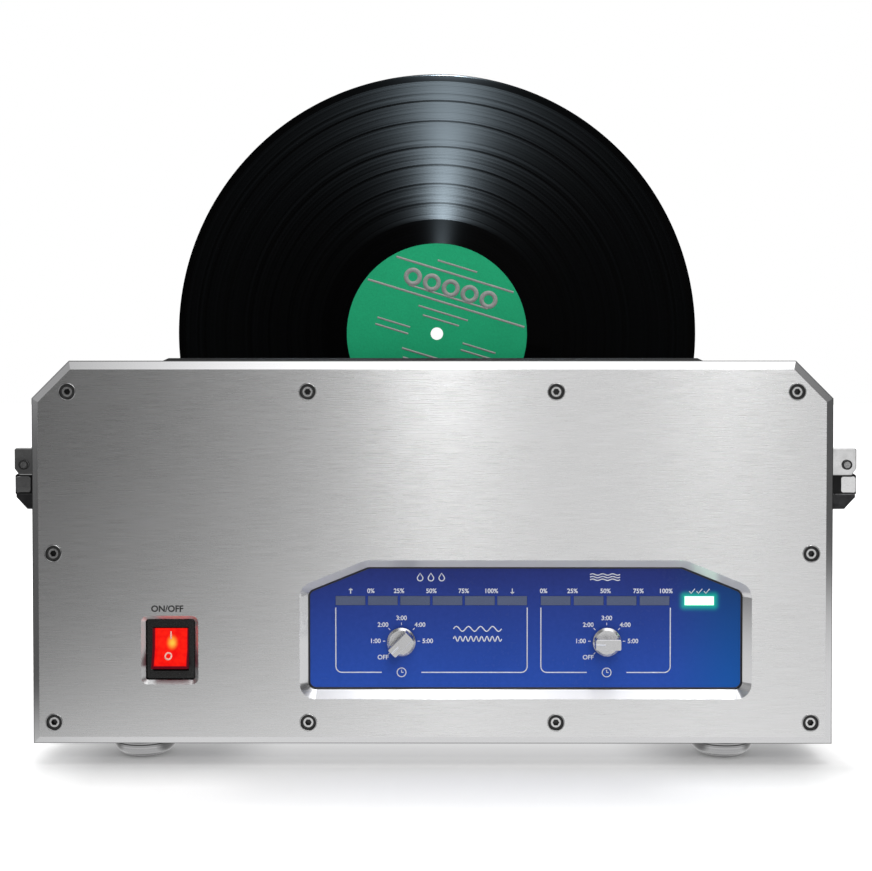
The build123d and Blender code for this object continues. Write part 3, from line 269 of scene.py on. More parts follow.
print("world nodes", len(sky.nodes))


# %% Lamps
def soft_lamp(name, place, target, size, power, colour=(1.0, 1.0, 1.0)):
    lamp = bpy.data.lights.new(name, "AREA")
    lamp.shape = "RECTANGLE"
    lamp.size, lamp.size_y = size
    lamp.energy = power
    lamp.color = colour
    holder = bpy.data.objects.new(name, lamp)
    holder.location = place
    holder.rotation_euler = (Vector(target) - Vector(place)).to_track_quat("-Z", "Y").to_euler()
    bpy.context.scene.collection.objects.link(holder)
    return holder


def shine_only_on(lamp, node):
    """Keeps a lamp to the gloss of one node, and returns the list that more can join."""
    lamp.visible_diffuse = False
    lit = bpy.data.collections.new("lit_by_" + lamp.name)
    lit.objects.link(frame["nodes"][node])
    lamp.light_linking.receiver_collection = lit
    return lit


plate_target = (0.0, plate_low.y, 0.12)
front_lamp = soft_lamp("front_lamp", (0.25, -1.6, 1.1), plate_target, (1.0, 0.7), 9.0)
top_lamp = soft_lamp("top_lamp", (0.10, -0.2, 1.9), (0.0, 0.0, 0.1), (1.3, 1.3), 10.0)
for lamp in (front_lamp, top_lamp):
    lamp.visible_glossy = False
cool = (0.72, 0.88, 1.0)
groove_lamp = soft_lamp("groove_lamp", (0.02, -0.9, 1.35), record_middle, (0.12, 0.4), 1040.0, cool)
lit_by_groove_lamp = shine_only_on(groove_lamp, "record")
for name, side, power in (("middle_strip", -0.015, 1.35), ("right_strip", 0.29, 0.8)):
    strip = soft_lamp(name, (side, -0.60, 0.75), (side, plate_low.y, 0.20), (0.03, 0.3), power)
    shine_only_on(strip, "front_plate")
lug_lamp = soft_lamp("lug_lamp", (0.376, -0.60, 0.08), (0.23, -0.02, 0.13), (0.22, 0.22), 0.085)
lit_by_lug_lamp = shine_only_on(lug_lamp, "handle_bracket_right")

# %% [markdown]
# ## The floor
# A plain pale floor catches the soft shadow under the box. The camera also gets light from
# the floor itself, which turns it white where nothing shades it. That lift is painted light,
# and it shapes the shadow, which is partly real and partly painted. The lift is a sum. It rises
# ahead of the box, slowly between the feet and quickly elsewhere. More is added far ahead,
# under the box, further back under it, past the feet and clear of the sides. Mirror-like
# surfaces see a painted reflection of the floor: bright close in front of the box and on the
# right, dark on the left and far to the right.

# %% Floor
floor_half = 6.0
box_middle = 0.008
foot_x = middle("foot_front_right").x
floor_paper = bpy.data.materials.new("floor_paper")
floor_paper.use_nodes = True
paper = floor_paper.node_tree
paper.nodes.clear()
rays = add_node(paper, "ShaderNodeLightPath").outputs
aside, ahead, _ = split(seen_from(paper))
sideways = distance(aside, box_middle)
# The parts of the lift below are painted light: they set how far the shadow reaches and how it fades.
between_feet = ramp(sideways, foot_x - 0.022, foot_x - 0.070)
slow_rise = map_range(ahead, -0.105, -0.175, 0.04, 0.28)
quick_rise = map_range(ahead, -0.103, -0.138, 0.0, 0.28)
rise = mix(between_feet, quick_rise, slow_rise)
far_ahead = map_range(ahead, -0.16, -0.24, 0.0, 0.20)
under_box = product(map_range(ahead, -0.105, -0.075), map_range(between_feet, 0.0, 1.0, 0.17, 0.37))
past_feet = ramp(sideways, foot_x + 0.020, foot_x + 0.060, 0.0, 0.22)
clear_of_sides = ramp(sideways, 0.203, 0.226, 0.0, 0.30)
further_back = map_range(ahead, -0.074, -0.056, 0.0, 0.10)
lift_share = 0.0
for part in (rise, far_ahead, under_box, past_feet, clear_of_sides, further_back):
    lift_share = calculate("ADD", lift_share, part)
for_camera = product(rays["Is Camera Ray"], lift_share)
lift = output_of(paper, "ShaderNodeEmission", {"Color": grey(1.0), "Strength": for_camera})
matt = output_of(paper, "ShaderNodeBsdfDiffuse", {"Color": grey(0.70)})
lit_paper = output_of(paper, "ShaderNodeAddShader", {0: matt, 1: lift})
# Painted reflection: what mirror-like surfaces see of the floor.
painted_floor_reflection = ramp(aside, -0.42, 0.05, 0.10, 0.66)
painted_floor_reflection = mix_colours(ramp(aside, 0.55, 1.0), painted_floor_reflection, grey(0.10))
near = product(ramp(ahead, -0.32, -0.14), ramp(aside, -0.40, -0.10), ramp(aside, 0.40, 0.60, 1.0, 0.0))
painted_floor_reflection = mix_colours(near, painted_floor_reflection, grey(0.78))
painted_reflection_shader = output_of(paper, "ShaderNodeEmission", {"Color": painted_floor_reflection})
shown = output_of(paper, "ShaderNodeMixShader", {0: rays["Is Glossy Ray"], 1: lit_paper, 2: painted_reflection_shader})
add_node(paper, "ShaderNodeOutputMaterial", {"Surface": shown})
floor_mesh = bpy.data.meshes.new("floor")
corners = [(x * floor_half, y * floor_half, 0) for x, y in ((-1, -1), (1, -1), (1, 1), (-1, 1))]
floor_mesh.from_pydata(corners, [], [(0, 1, 2, 3)])
floor = piece("floor", floor_mesh, floor_paper)
print("floor", 2 * floor_half, "m wide")

# %% [markdown]
# ## Effects that several finishes share
# Brushing, lathe marks, moulded grain and handling each get one shader group. A group gives
# out a pattern from 0 to 1, and every finish places it with its own sizes. The shader itself
# stays in the material.


# %% Shader groups
def new_group(name, kind, inputs, result, result_kind):
    """An empty group. An input is given as its first value, or as its socket's kind."""
    kinds = {tuple: "NodeSocketVector", float: "NodeSocketFloat", int: "NodeSocketInt"}
    tree = bpy.data.node_groups.new(name, kind)
    for title, value in inputs.items():
        kind_given = isinstance(value, str)
        socket_kind = value if kind_given else kinds[type(value)]
        socket = tree.interface.new_socket(title, in_out="INPUT", socket_type=socket_kind)
        if not kind_given:
            socket.default_value = value
    tree.interface.new_socket(result, in_out="OUTPUT", socket_type=result_kind)
    return tree, tree.nodes.new("NodeGroupInput").outputs, tree.nodes.new("NodeGroupOutput").inputs


def shader_group(name, **inputs):
    inputs = {socket_title(key): value for key, value in inputs.items()}
    tree, start, end = new_group(name, "ShaderNodeTree", inputs, "Pattern", "NodeSocketFloat")
    return tree, start, end, seen_from(tree)


def socket_title(name):
    return name.replace("_", " ").title().replace("Ior", "IOR")


def brushing_group():
    """Long fine lines in two lengths, as an abrasive belt leaves them."""
    tree, start, end, place = shader_group("brushing", lines=(40.0, 900.0, 1400.0), fine_share=0.6)
    stretched = vector("MULTIPLY", place, start["Lines"])
    wider = output_of(tree, "ShaderNodeVectorMath", {0: stretched, "Scale": 0.35}, operation="SCALE")
    kept = product(noise(stretched, 1.0, 3.0), start["Fine Share"])
    rest = calculate("SUBTRACT", 1.0, start["Fine Share"])
    pattern = calculate("MULTIPLY_ADD", noise(wider, 1.0, 2.0), rest, kept)
    tree.links.new(map_range(pattern, 0.32, 0.68), end["Pattern"])
    return tree


def lathe_group():
    """Rings round an axis through a centre, as a turning tool leaves them."""
    tree, start, end, place = shader_group(
        "lathe_marks", centre=(0.0, 0.0, 0.0), plane=(1.0, 0.0, 1.0), rings=4000.0
    )
    flat = vector("MULTIPLY", vector("SUBTRACT", place, start["Centre"]), start["Plane"])
    marks = noise(product(vector("LENGTH", flat), start["Rings"]), 1.0, 2.0, on_a_line=True)
    tree.links.new(map_range(marks, 0.3, 0.7), end["Pattern"])
    return tree


def grain_group():
    """Fine even grain with slow patches, for moulded, cast and blasted surfaces."""
    tree, start, end, place = shader_group("grain", grains=1500.0, patches=25.0, patch_share=0.3)
    rest = calculate("SUBTRACT", 1.0, start["Patch Share"])
    kept = product(noise(place, start["Grains"], 2.0), rest)
    slow = noise(place, start["Patches"], 3.0)
    pattern = calculate("MULTIPLY_ADD", slow, start["Patch Share"], kept)
    tree.links.new(map_range(pattern, 0.35, 0.65), end["Pattern"])
    return tree


def handling_group():
    """Soft smears where hands and cloths have been."""
    tree, start, end, place = shader_group("handling", smears=18.0, amount=1.0)
    smears = noise(vector("MULTIPLY", place, (1.0, 1.0, 2.2)), start["Smears"], 4.0, Distortion=0.6)
    tree.links.new(product(ramp(smears, 0.45, 0.75), start["Amount"]), end["Pattern"])
    return tree


brushing = brushing_group()
lathe_marks = lathe_group()
grain = grain_group()
handling = handling_group()
print("groups", [tree.name for tree in (brushing, lathe_marks, grain, handling)])

# %% [markdown]
# ## Making a finish
# Every finish is one Principled shader with its even numbers typed on its own sockets. What
# changes over the surface comes from a pattern: it moves the colour between two tones, moves
# the roughness between two values, and lifts the surface by a few hundredths of a
# millimetre. A second, wider pattern of smears takes the even look off large faces. Each
# finish is kept under its name.


# %% Finish helpers
finishes = {}


def finish(name, metallic=0.0, **numbers):
    material = finishes[name] = bpy.data.materials.new(name)
    material.use_nodes = True
    shader = material.node_tree.nodes["Principled BSDF"]
    for title, value in {"metallic": metallic, **numbers}.items():
        shader.inputs[socket_title(title)].default_value = value
    return material.node_tree, shader


def connect(shader, **sources):
    for title, source in sources.items():
        shader.id_data.links.new(source, shader.inputs[socket_title(title)])


def pattern_of(tree, group, **inputs):
    node = add_node(tree, "ShaderNodeGroup", node_tree=group)
    for title, value in inputs.items():
        node.inputs[socket_title(title)].default_value = value
    return node.outputs["Pattern"]


def raise_by(shader, height, lift, strength=1.0):
    inputs = {"Height": height, "Distance": lift, "Strength": strength}
    connect(shader, normal=output_of(shader.id_data, "ShaderNodeBump", inputs))


def tone(value):
    """A colour from one grey level or from three."""
    return rgb(*value) if isinstance(value, tuple) else grey(value)


def patterned(name, dark, light, rough, pattern, lift=0.02 * mm, smears=0.06, **numbers):
    """A finish whose colour, roughness and relief all follow one pattern."""
    tree, shader = finish(name, **numbers)
    group, inputs = pattern
    relief = pattern_of(tree, group, **inputs)
    smear = pattern_of(tree, handling, amount=smears)
    roughness = calculate("ADD", map_range(relief, 0.0, 1.0, *rough), smear, clamp=True)
    connect(shader, base_color=mix_colours(relief, tone(dark), tone(light)), roughness=roughness)
    raise_by(shader, relief, lift)
    return shader


def tone_of(shader):
    """What drives the shader's colour so far, so that a mask can be laid over it."""
    return shader.inputs["Base Color"].links[0].from_socket


print("finish helpers ready")

# %% [markdown]
# ## Brushed front
# The front plate is cut from thick aluminium, brushed along its length on a belt and clear
# anodised. Brushed lines spread a highlight across themselves, so the reflection of a lamp
# becomes an upright band: that is the anisotropy, turned by the tangent that points up. The
# edges and recesses are milled after brushing and stay plain, which a mask on depth gives.
# The slanting edge over the display is milled to a satin finish, and so is the one under it. A dark band
# where the outer bevel meets the side is painted shade.


# %% Front plate
def past_line(value, line, width):
    """Goes from 0 to 1 over a width past a line."""
    return map_range(value, line, line + width)


def brushed_front():
    tree, shader = finish("front_brushed", metallic=1.0, anisotropic=0.95)
    lines = pattern_of(tree, brushing, lines=(52.0, 900.0, 3400.0), fine_share=0.9)
    across, depth, height = split(seen_from(tree))
    milled = past_line(depth, plate_low.y + 0.02 * mm, 0.10 * mm)
    brushed_tone = mix_colours(lines, grey(0.82), rgb(0.90, 0.90, 0.905))
    colour = mix_colours(milled, brushed_tone, rgb(0.80, 0.80, 0.81))
    # Painted shade: a dark band 4.0 to 4.65 mm behind the face, where the outer bevel meets the side.
    edge_shade_start = past_line(depth, plate_low.y + 4.0 * mm, 0.15 * mm)
    edge_shade_end = map_range(depth, plate_low.y + 4.55 * mm, plate_low.y + 4.65 * mm, 1.0, 0.0)
    colour = mix_colours(product(edge_shade_start, edge_shade_end), colour, grey(0.10))
    beyond = distance(across, (panel_low.x + panel_high.x) / 2)
    half_panel = (panel_high.x - panel_low.x) / 2
    beside_panel = map_range(beyond, half_panel + 3 * mm, half_panel + 5 * mm, 1.0, 0.0)
    near_top = past_line(height, panel_high.z - 14 * mm, 2 * mm)
    below_edge = map_range(height, panel_high.z + 6 * mm, panel_high.z + 7 * mm, 1.0, 0.0)
    over_panel = product(milled, near_top, beside_panel, below_edge)
    near_foot = map_range(height, panel_low.z + 1 * mm, panel_low.z - 1 * mm)
    under_panel = product(past_line(height, panel_low.z - 8 * mm, 1 * mm), near_foot)
    under_panel = product(milled, under_panel, beside_panel)
    rough = mix_colours(milled, map_range(lines, 0.0, 1.0, 0.255, 0.295), grey(0.12))
    rough = mix_colours(over_panel, rough, grey(0.36))
    rough = mix_colours(under_panel, rough, grey(0.40))
    smear = pattern_of(tree, handling, smears=9.0, amount=0.012)
    upright = combine(tree, 0.0, 0.2, 1.0)
    connect(shader, base_color=colour, roughness=calculate("ADD", rough, smear), tangent=upright)
    raise_by(shader, product(lines, calculate("SUBTRACT", 1.0, milled)), 0.008 * mm)


brushed_front()
print("finishes", list(finishes))

# %% [markdown]
# ## Other metals
# The cover is bent from blasted and anodised sheet. Feet and knobs are turned, so they carry
# rings round their own axis, and screws and pins are too small for more than a fine grain.
# The handles are cast and polished, with the soft waves that a polishing wheel leaves. Each
# is the same kind of finish with other numbers: a dark and a light tone, two roughnesses, a
# pattern and sometimes its lift. Screw heads get painted shade inside their sockets.

# %% Metals
cast = (grain, {"grains": 260.0, "patches": 60.0, "patch_share": 0.7})
screw_grain = (grain, {"grains": 2600.0, "patches": 400.0, "patch_share": 0.5})
brass_grain = (grain, {"grains": 1800.0, "patches": 90.0})
upright_lines = (brushing, {"lines": (600.0, 600.0, 60.0)})
level_lines = (brushing, {"lines": (60.0, 900.0, 900.0)})
wave_lift = 0.05 * mm
metals = {
    "blasted_sheet": ((0.50, 0.50, 0.515), (0.58, 0.58, 0.59), (0.36, 0.46), (grain, {"grains": 1400.0})),
    "machined_bar": ((0.58, 0.58, 0.60), (0.68, 0.68, 0.69), (0.30, 0.42), upright_lines),
    "welded_steel": (0.50, (0.62, 0.62, 0.61), (0.22, 0.36), level_lines),
    "polished_cast": ((0.48, 0.48, 0.485), 0.70, (0.10, 0.22), cast, wave_lift),
    # A darker copy of polished_cast for the handles: painted shade.
    "dark_cast": ((0.34, 0.34, 0.345), (0.50, 0.50, 0.505), (0.10, 0.22), cast, wave_lift),
    # A near-black copy for the handles' end facets: painted shade.
    "blackened_cast": ((0.10, 0.10, 0.105), (0.18, 0.18, 0.185), (0.14, 0.26), cast, wave_lift),
    "screw_face": (0.70, 0.88, (0.20, 0.32), screw_grain),
    "dark_screw": ((0.20, 0.20, 0.205), 0.42, (0.22, 0.36), screw_grain),
    "satin_trim": ((0.78, 0.78, 0.79), 0.90, (0.34, 0.44), (grain, {"grains": 1800.0})),
    "turned_pin": (0.42, 0.60, (0.18, 0.30), (grain, {"grains": 2600.0, "patches": 300.0})),
    "turned_brass": ((0.48, 0.32, 0.12), (0.66, 0.46, 0.19), (0.24, 0.38), brass_grain),
}
for name, numbers in metals.items():
    shader = patterned(name, *numbers, metallic=1.0)
    if name == "screw_face":
        # Painted shade: the sides and socket of each head darken with depth, most at the socket's bottom.
        depth = split(seen_from(shader.id_data))[1]
        socket_shade = past_line(depth, plate_low.y + 0.6 * mm, 0.2 * mm)
        socket_floor_shade = past_line(depth, plate_low.y + 2.2 * mm, 0.15 * mm)
        shaded_walls = mix_colours(socket_shade, tone_of(shader), grey(0.02))
        connect(shader, base_color=mix_colours(socket_floor_shade, shaded_walls, grey(0.05)))
print("metals", list(metals))

# %% Turned pieces
across_y = (1.0, 0.0, 1.0)
across_z = (1.0, 1.0, 0.0)
feet = ["foot_front_left", "foot_front_right", "foot_rear_left", "foot_rear_right"]
knobs = ["washing_knob", "drying_knob"]


def turned(node, plane, tones, rough):
    marks = (lathe_marks, {"centre": middle(node), "plane": plane, "rings": 5000.0})
    return patterned(node + "_turned", *tones, rough, marks, 0.01 * mm, metallic=1.0)


def paint_foot_shade(shader):
    """Paints shade over a turned foot: a dark lower edge, two dark grooves and dark ends."""
    height = split(seen_from(shader.id_data))[2]
    # Painted shade: the lower edge, the grooves and the ends that turn aside are darkened.
    dark = ramp(height, foot_low.z + 1.2 * mm, foot_low.z + 2.2 * mm, 1.0, 0.0)
    for groove in (3.2 * mm, 4.6 * mm):
        off = distance(height, foot_high.z - groove)
        dark = highest(dark, map_range(off, 0.15 * mm, 0.5 * mm, 1.0, 0.0))
    turned_aside = calculate("ABSOLUTE", split(seen_from(shader.id_data, "Normal"))[0])
    dark = highest(dark, ramp(turned_aside, 0.45, 0.72, 0.0, 0.72))
    connect(shader, base_color=mix_colours(dark, tone_of(shader), grey(0.03)))


for name in feet:
    paint_foot_shade(turned(name, across_z, ((0.36, 0.36, 0.365), (0.56, 0.56, 0.565)), (0.10, 0.20)))
for name in knobs:
    turned(name, across_y, ((0.72, 0.72, 0.73), (0.88, 0.88, 0.89)), (0.14, 0.26))
print("turned", feet + knobs)

# %% [markdown]
# ## Plastics, rubber, paper and ink
# Moulded plastic copies the fine spark-eroded texture of its mould. Rubber is darker, duller
# and rougher. Silicone hose and natural tank plastic let a little light into themselves.
# Print, ink and the frosted bars have no smears, and the label's paper has hardly any.

# %% Plastics
moulded = (grain, {"grains": 1900.0, "patches": 30.0, "patch_share": 0.25})
rubber_grain = (grain, {"grains": 1100.0, "patches": 60.0})
paper_grain = (grain, {"grains": 1300.0, "patches": 40.0})
bar_grain = (grain, {"grains": 1600.0})
clean = {"smears": 0.0}
dull = {"specular_ior_level": 0.25}
milky, clearer = {"transmission_weight": 0.15}, {"transmission_weight": 0.35}
plastics = {
    "satin_black": ((0.004, 0.004, 0.0045), (0.010, 0.010, 0.0105), (0.30, 0.42), moulded, dull),
    "switch_black": (0.006, 0.014, (0.22, 0.34), moulded, {}),
    "inner_black": ((0.022, 0.022, 0.024), (0.040, 0.040, 0.042), (0.42, 0.58), moulded, {}),
    "duct_plastic": ((0.40, 0.40, 0.39), (0.48, 0.48, 0.47), (0.40, 0.54), moulded, {}),
    "roller_plastic": ((0.74, 0.74, 0.72), (0.84, 0.84, 0.82), (0.28, 0.40), moulded, {}),
    "milky_plastic": ((0.70, 0.72, 0.73), (0.80, 0.81, 0.82), (0.30, 0.44), moulded, milky),
    "hose_silicone": ((0.58, 0.60, 0.60), (0.68, 0.69, 0.69), (0.26, 0.40), moulded, clearer),
    "black_rubber": (0.016, 0.034, (0.62, 0.80), rubber_grain, {"lift": 0.05 * mm}),
    "solder_mask": ((0.012, 0.12, 0.05), (0.025, 0.19, 0.085), (0.30, 0.42), (grain, {"grains": 700.0}), {}),
    "white_print": ((0.66, 0.68, 0.74), (0.80, 0.82, 0.88), (0.42, 0.52), moulded, clean),
    "dark_print": ((0.014, 0.014, 0.015), (0.026, 0.026, 0.027), (0.42, 0.52), moulded, clean),
    "rocker_ink": ((0.86, 0.46, 0.38), (0.95, 0.60, 0.50), (0.30, 0.40), moulded, clean),
    "frosted_bar": ((0.070, 0.095, 0.17), (0.095, 0.120, 0.215), (0.34, 0.46), bar_grain, clean),
    "label_ink": ((0.27, 0.28, 0.27), (0.36, 0.37, 0.36), (0.50, 0.60), (grain, {"grains": 1500.0}), clean),
    "label_paper": (
        (0.004, 0.360, 0.158), (0.008, 0.425, 0.188), (0.50, 0.62), paper_grain,
        {"smears": 0.02, "specular_ior_level": 0.35},
    ),
}
for name, (dark, light, rough, pattern, more) in plastics.items():
    patterned(name, dark, light, rough, pattern, **more)
print("plastics", list(plastics))

# %% [markdown]
# ## Display panel and its light bars
# The panel is one sheet of blue acrylic with a gloss face. The bars are frosted windows in
# it. The lit one is brightest in its middle, where its diode sits, and green towards its
# rim, so its light comes from a mask on the distance to the rim. Some of that light runs on
# inside the acrylic and leaves it as a green halo round the bar.


# %% Display finishes
def blue_acrylic():
    tree, shader = finish("blue_acrylic", specular_ior_level=0.12, emission_strength=1.0)
    cloud = pattern_of(tree, grain, grains=420.0, patches=14.0, patch_share=0.5)
    place = seen_from(tree)
    across, _, height = split(place)
    # Painted light and shade: the blue is lighter towards the bottom of the panel and darker towards its top.
    rise = map_range(height, panel_low.z, panel_high.z)
    blue = mix_colours(rise, rgb(0.026, 0.092, 0.49), rgb(0.024, 0.038, 0.21))
    deeper = mix_colours(rise, rgb(0.021, 0.080, 0.44), rgb(0.020, 0.032, 0.18))
    greener = mix_colours(rise, rgb(0.008, 0.100, 0.42), rgb(0.008, 0.045, 0.17))
    right_end = ramp(across, panel_high.x - 45 * mm, panel_high.x)
    colour = mix_colours(right_end, mix_colours(cloud, blue, deeper), greener)
    away = vector("ABSOLUTE", vector("SUBTRACT", place, done_middle))
    outside = vector("MAXIMUM", vector("SUBTRACT", away, done_half), (0.0, 0.0, 0.0))
    halo = calculate("POWER", ramp(vector("LENGTH", outside), 0.0, 5.0 * mm, 1.0, 0.0), 2.5)
    green = mix_colours(halo, grey(0.0), rgb(0.0, 0.32, 0.11))
    connect(shader, base_color=colour, emission_color=green, roughness=map_range(cloud, 0.0, 1.0, 0.20, 0.28))
    raise_by(shader, cloud, 0.01 * mm)


def lit_bar():
    tree, shader = finish("lit_bar", emission_strength=9.0)
    side, _, rise = split(vector("ABSOLUTE", vector("SUBTRACT", seen_from(tree), done_middle)))
    near_side = map_range(side, done_half.x - 1.2 * mm, done_half.x - 0.2 * mm)
    near_edge = map_range(rise, done_half.z - 1.1 * mm, done_half.z - 0.2 * mm)
    light = mix_colours(highest(near_side, near_edge), rgb(0.60, 1.0, 0.72), rgb(0.004, 0.085, 0.035))
    frost = pattern_of(tree, grain, grains=1800.0)
    frosted = mix_colours(frost, rgb(0.6, 0.9, 0.7), rgb(0.7, 1.0, 0.8))
    connect(shader, base_color=frosted, emission_color=light)
    raise_by(shader, frost, 0.01 * mm)


blue_acrylic()
lit_bar()
print("display finishes", list(finishes)[-2:])

# %% [markdown]
# ## The lit rocker
# The rocker is clear red plastic with a small lamp behind it. It glows over its whole face
# and turns orange where the lamp is closest, which is a soft ball of light placed just above
# its middle. Its rim and the sides that turn away stay dark.


# %% Rocker
def lit_rocker():
    tree, shader = finish("lit_rocker", emission_strength=1.0, specular_ior_level=0.12)
    place = seen_from(tree)
    lamp_place = (switch_middle.x + 1.0 * mm, panel_low.y, switch_middle.z + 3.2 * mm)
    reach = vector("MULTIPLY", vector("SUBTRACT", place, lamp_place), (1.0, 0.5, 0.75))
    glow = ramp(vector("LENGTH", reach), 0.5 * mm, 4.0 * mm, 1.0, 0.0)
    cloud = pattern_of(tree, grain, grains=520.0, patches=260.0, patch_share=0.6)
    warm = calculate("POWER", product(glow, map_range(cloud, 0.0, 1.0, 0.85, 1.0)), 1.25)
    side, _, rise = split(place)
    left_rim = ramp(side, rocker_low.x + 1.9 * mm, rocker_low.x + 2.7 * mm, 1.0, 0.0)
    right_rim = ramp(side, rocker_high.x - 1.8 * mm, rocker_high.x - 1.1 * mm)
    low_rim = ramp(rise, rocker_low.z + 1.9 * mm, rocker_low.z + 2.5 * mm, 1.0, 0.0)
    turned_away = map_range(split(seen_from(tree, "Normal"))[1], -0.85, -0.60)
    rim = highest(left_rim, right_rim, low_rim, turned_away)
    even = mix_colours(cloud, rgb(0.84, 0.004, 0.003), rgb(0.96, 0.012, 0.004))
    plain = mix_colours(rim, even, rgb(0.055, 0.001, 0.008))
    light = mix_colours(warm, plain, rgb(1.0, 0.86, 0.09))
    red = mix_colours(cloud, rgb(0.06, 0.001, 0.001), rgb(0.09, 0.002, 0.001))
    connect(shader, base_color=red, emission_color=light, roughness=map_range(cloud, 0.0, 1.0, 0.18, 0.26))
    raise_by(shader, cloud, 0.02 * mm)


lit_rocker()
print("rocker lamp over", tuple(round(v / mm, 1) for v in switch_middle))

# %% [markdown]
# ## Vinyl
# A record shines in a wedge because its grooves are rings: each point sends light out along
# its own radius, and only the radii that point at the lamp look bright. The tangent is
# therefore the direction away from the centre. It is worked out in the record's own
# coordinates, so it is right at rest and at half a turn, but between them it turns with the
# record. The bands between tracks have a wide-spaced groove, so they are smoother, and all
# grooves get a little smoother towards the label.


# %% Vinyl
def grooved_vinyl(bands):
    tree, shader = finish("grooved_vinyl", anisotropic=0.86, specular_ior_level=0.02)
    flat = vector("MULTIPLY", vector("SUBTRACT", seen_from(tree), record_middle), across_y)
    radius = vector("LENGTH", flat)
    run_out = map_range(radius, bands[0] - 0.3 * mm, bands[0], 1.0, 0.0)
    smooth_part = run_out
    for band in bands[1:-1]:
        smooth_part = highest(smooth_part, map_range(distance(radius, band), 0.35 * mm, 0.75 * mm, 1.0, 0.0))
    smooth_part = highest(smooth_part, past_line(radius, bands[-1], 0.4 * mm))
    loudness = noise(product(radius, 900.0), 5.0, 4.0, on_a_line=True)
    passages = noise(product(radius, 130.0), 5.0, 2.0, on_a_line=True)
    sound = calculate("MULTIPLY_ADD", passages, 0.6, product(loudness, 0.4))
    sound = map_range(sound, 0.35, 0.65)
    smoother_inside = map_range(radius, bands[0], 125 * mm, 0.77, 1.0)
    grooved = product(map_range(sound, 0.0, 1.0, 0.30, 0.46), smoother_inside)
    rough = mix(run_out, mix(smooth_part, grooved, 0.20), 0.12)
    black = mix_colours(sound, grey(0.0008), rgb(0.0016, 0.0016, 0.0018))
    connect(shader, base_color=black, roughness=rough, tangent=vector("NORMALIZE", flat))
    ridges = calculate("SINE", product(radius, 2 * math.pi / (0.9 * mm)))
    raise_by(shader, product(ridges, calculate("SUBTRACT", 1.0, smooth_part)), 0.004 * mm, 0.6)


track_gaps = [gap * mm for gap in (66.7, 76.0, 87.3, 98.2, 108.7, 123.6, 135.3, 146.4)]
grooved_vinyl(track_gaps)
print("record bands", len(track_gaps))

# %% [markdown]
# ## Dressing the model
# Each node of the model keeps its shape and gets its finish. Pieces that no one sees from
# outside are dressed as well, because the lid of a reusable model may come off one day.

# %% Dressing
dressing = {
    "front_brushed": "front_plate",
    "blasted_sheet": "rear_plate chassis_tray top_cover drive_motor power_supply",
    "machined_bar": "front_frame rear_frame motor_bracket air_knives",
    "welded_steel": "wash_tank tank_supports transducers",
    "polished_cast": "handle_bracket_left handle_bracket_right",
    "dark_cast": "handle_left handle_right",
    "screw_face": "front_screws",
    "dark_screw": "case_screws",
    "turned_pin": "handle_pins",
    "turned_brass": "shaft_bearings motor_pulley drain_valve",
    "satin_black": "slot_bezel",
    "switch_black": "power_switch_housing mains_inlet",
    "inner_black": "rotary_switches roller_pulley_left roller_pulley_right blower_left blower_right pump",
    "duct_plastic": "air_ducts impeller_left impeller_right",
    "roller_plastic": "roller_left roller_right",
    "milky_plastic": "reservoir water_filter",
    "hose_silicone": "water_hoses",
    "black_rubber": "foot_pads roller_tyre_left roller_tyre_right drive_belt",
    "solder_mask": "display_board circuit_boards",
    "blue_acrylic": "display_panel",
    "frosted_bar": "indicator_bars",
    "lit_bar": "completed_bar",
    "lit_rocker": "power_rocker",
    "grooved_vinyl": "record",
    "label_paper": "record_label",
}
for name in feet + knobs:
    dressing[name + "_turned"] = name
dressed = set()
for finish_name, nodes in dressing.items():
    for node in nodes.split():
        materials = frame["nodes"][node].data.materials
        materials.clear()
        materials.append(finishes[finish_name])
        dressed.add(node)
print("finishes", len(dressing), "left undressed", sorted(set(frame["nodes"]) - dressed))

# %% [markdown]
# ## Turning the record
# A record is pressed with a rounded bead at its rim, a thinner grooved zone, a smooth run-out
# and a raised seat for the label. That is one outline turned round an axis, so it is drawn
# as an outline and spun. The normals are made to point outwards afterwards, because spinning
# may leave a shape inside out.


# %% Record disc
def mesh_of(name, shape, turn_outwards=True):
    if turn_outwards:
        bmesh.ops.recalc_face_normals(shape, faces=shape.faces)
    mesh = bpy.data.meshes.new(name)
    shape.to_mesh(mesh)
    shape.free()
    return mesh


def bridge(shape, first, second):
    """Faces between two closed rings of points."""
    for index in range(len(first)):
        after = (index + 1) % len(first)
        shape.faces.new((first[index], first[after], second[after], second[index]))


def turned_mesh(name, outline, centre, steps=256):
    """Turns (radius, y) points round the line through the centre along Y."""
    shape = bmesh.new()
    rings = []
    for step in range(steps):
        angle = 2 * math.pi * step / steps
        ring = []
        for radius, depth in outline:
            aside, rise = radius * math.cos(angle), radius * math.sin(angle)
            ring.append(shape.verts.new((centre.x + aside, centre.y + depth, centre.z + rise)))
        rings.append(ring)
    for first, second in zip(rings, rings[1:] + rings[:1]):
        bridge(shape, first, second)
    return mesh_of(name, shape)


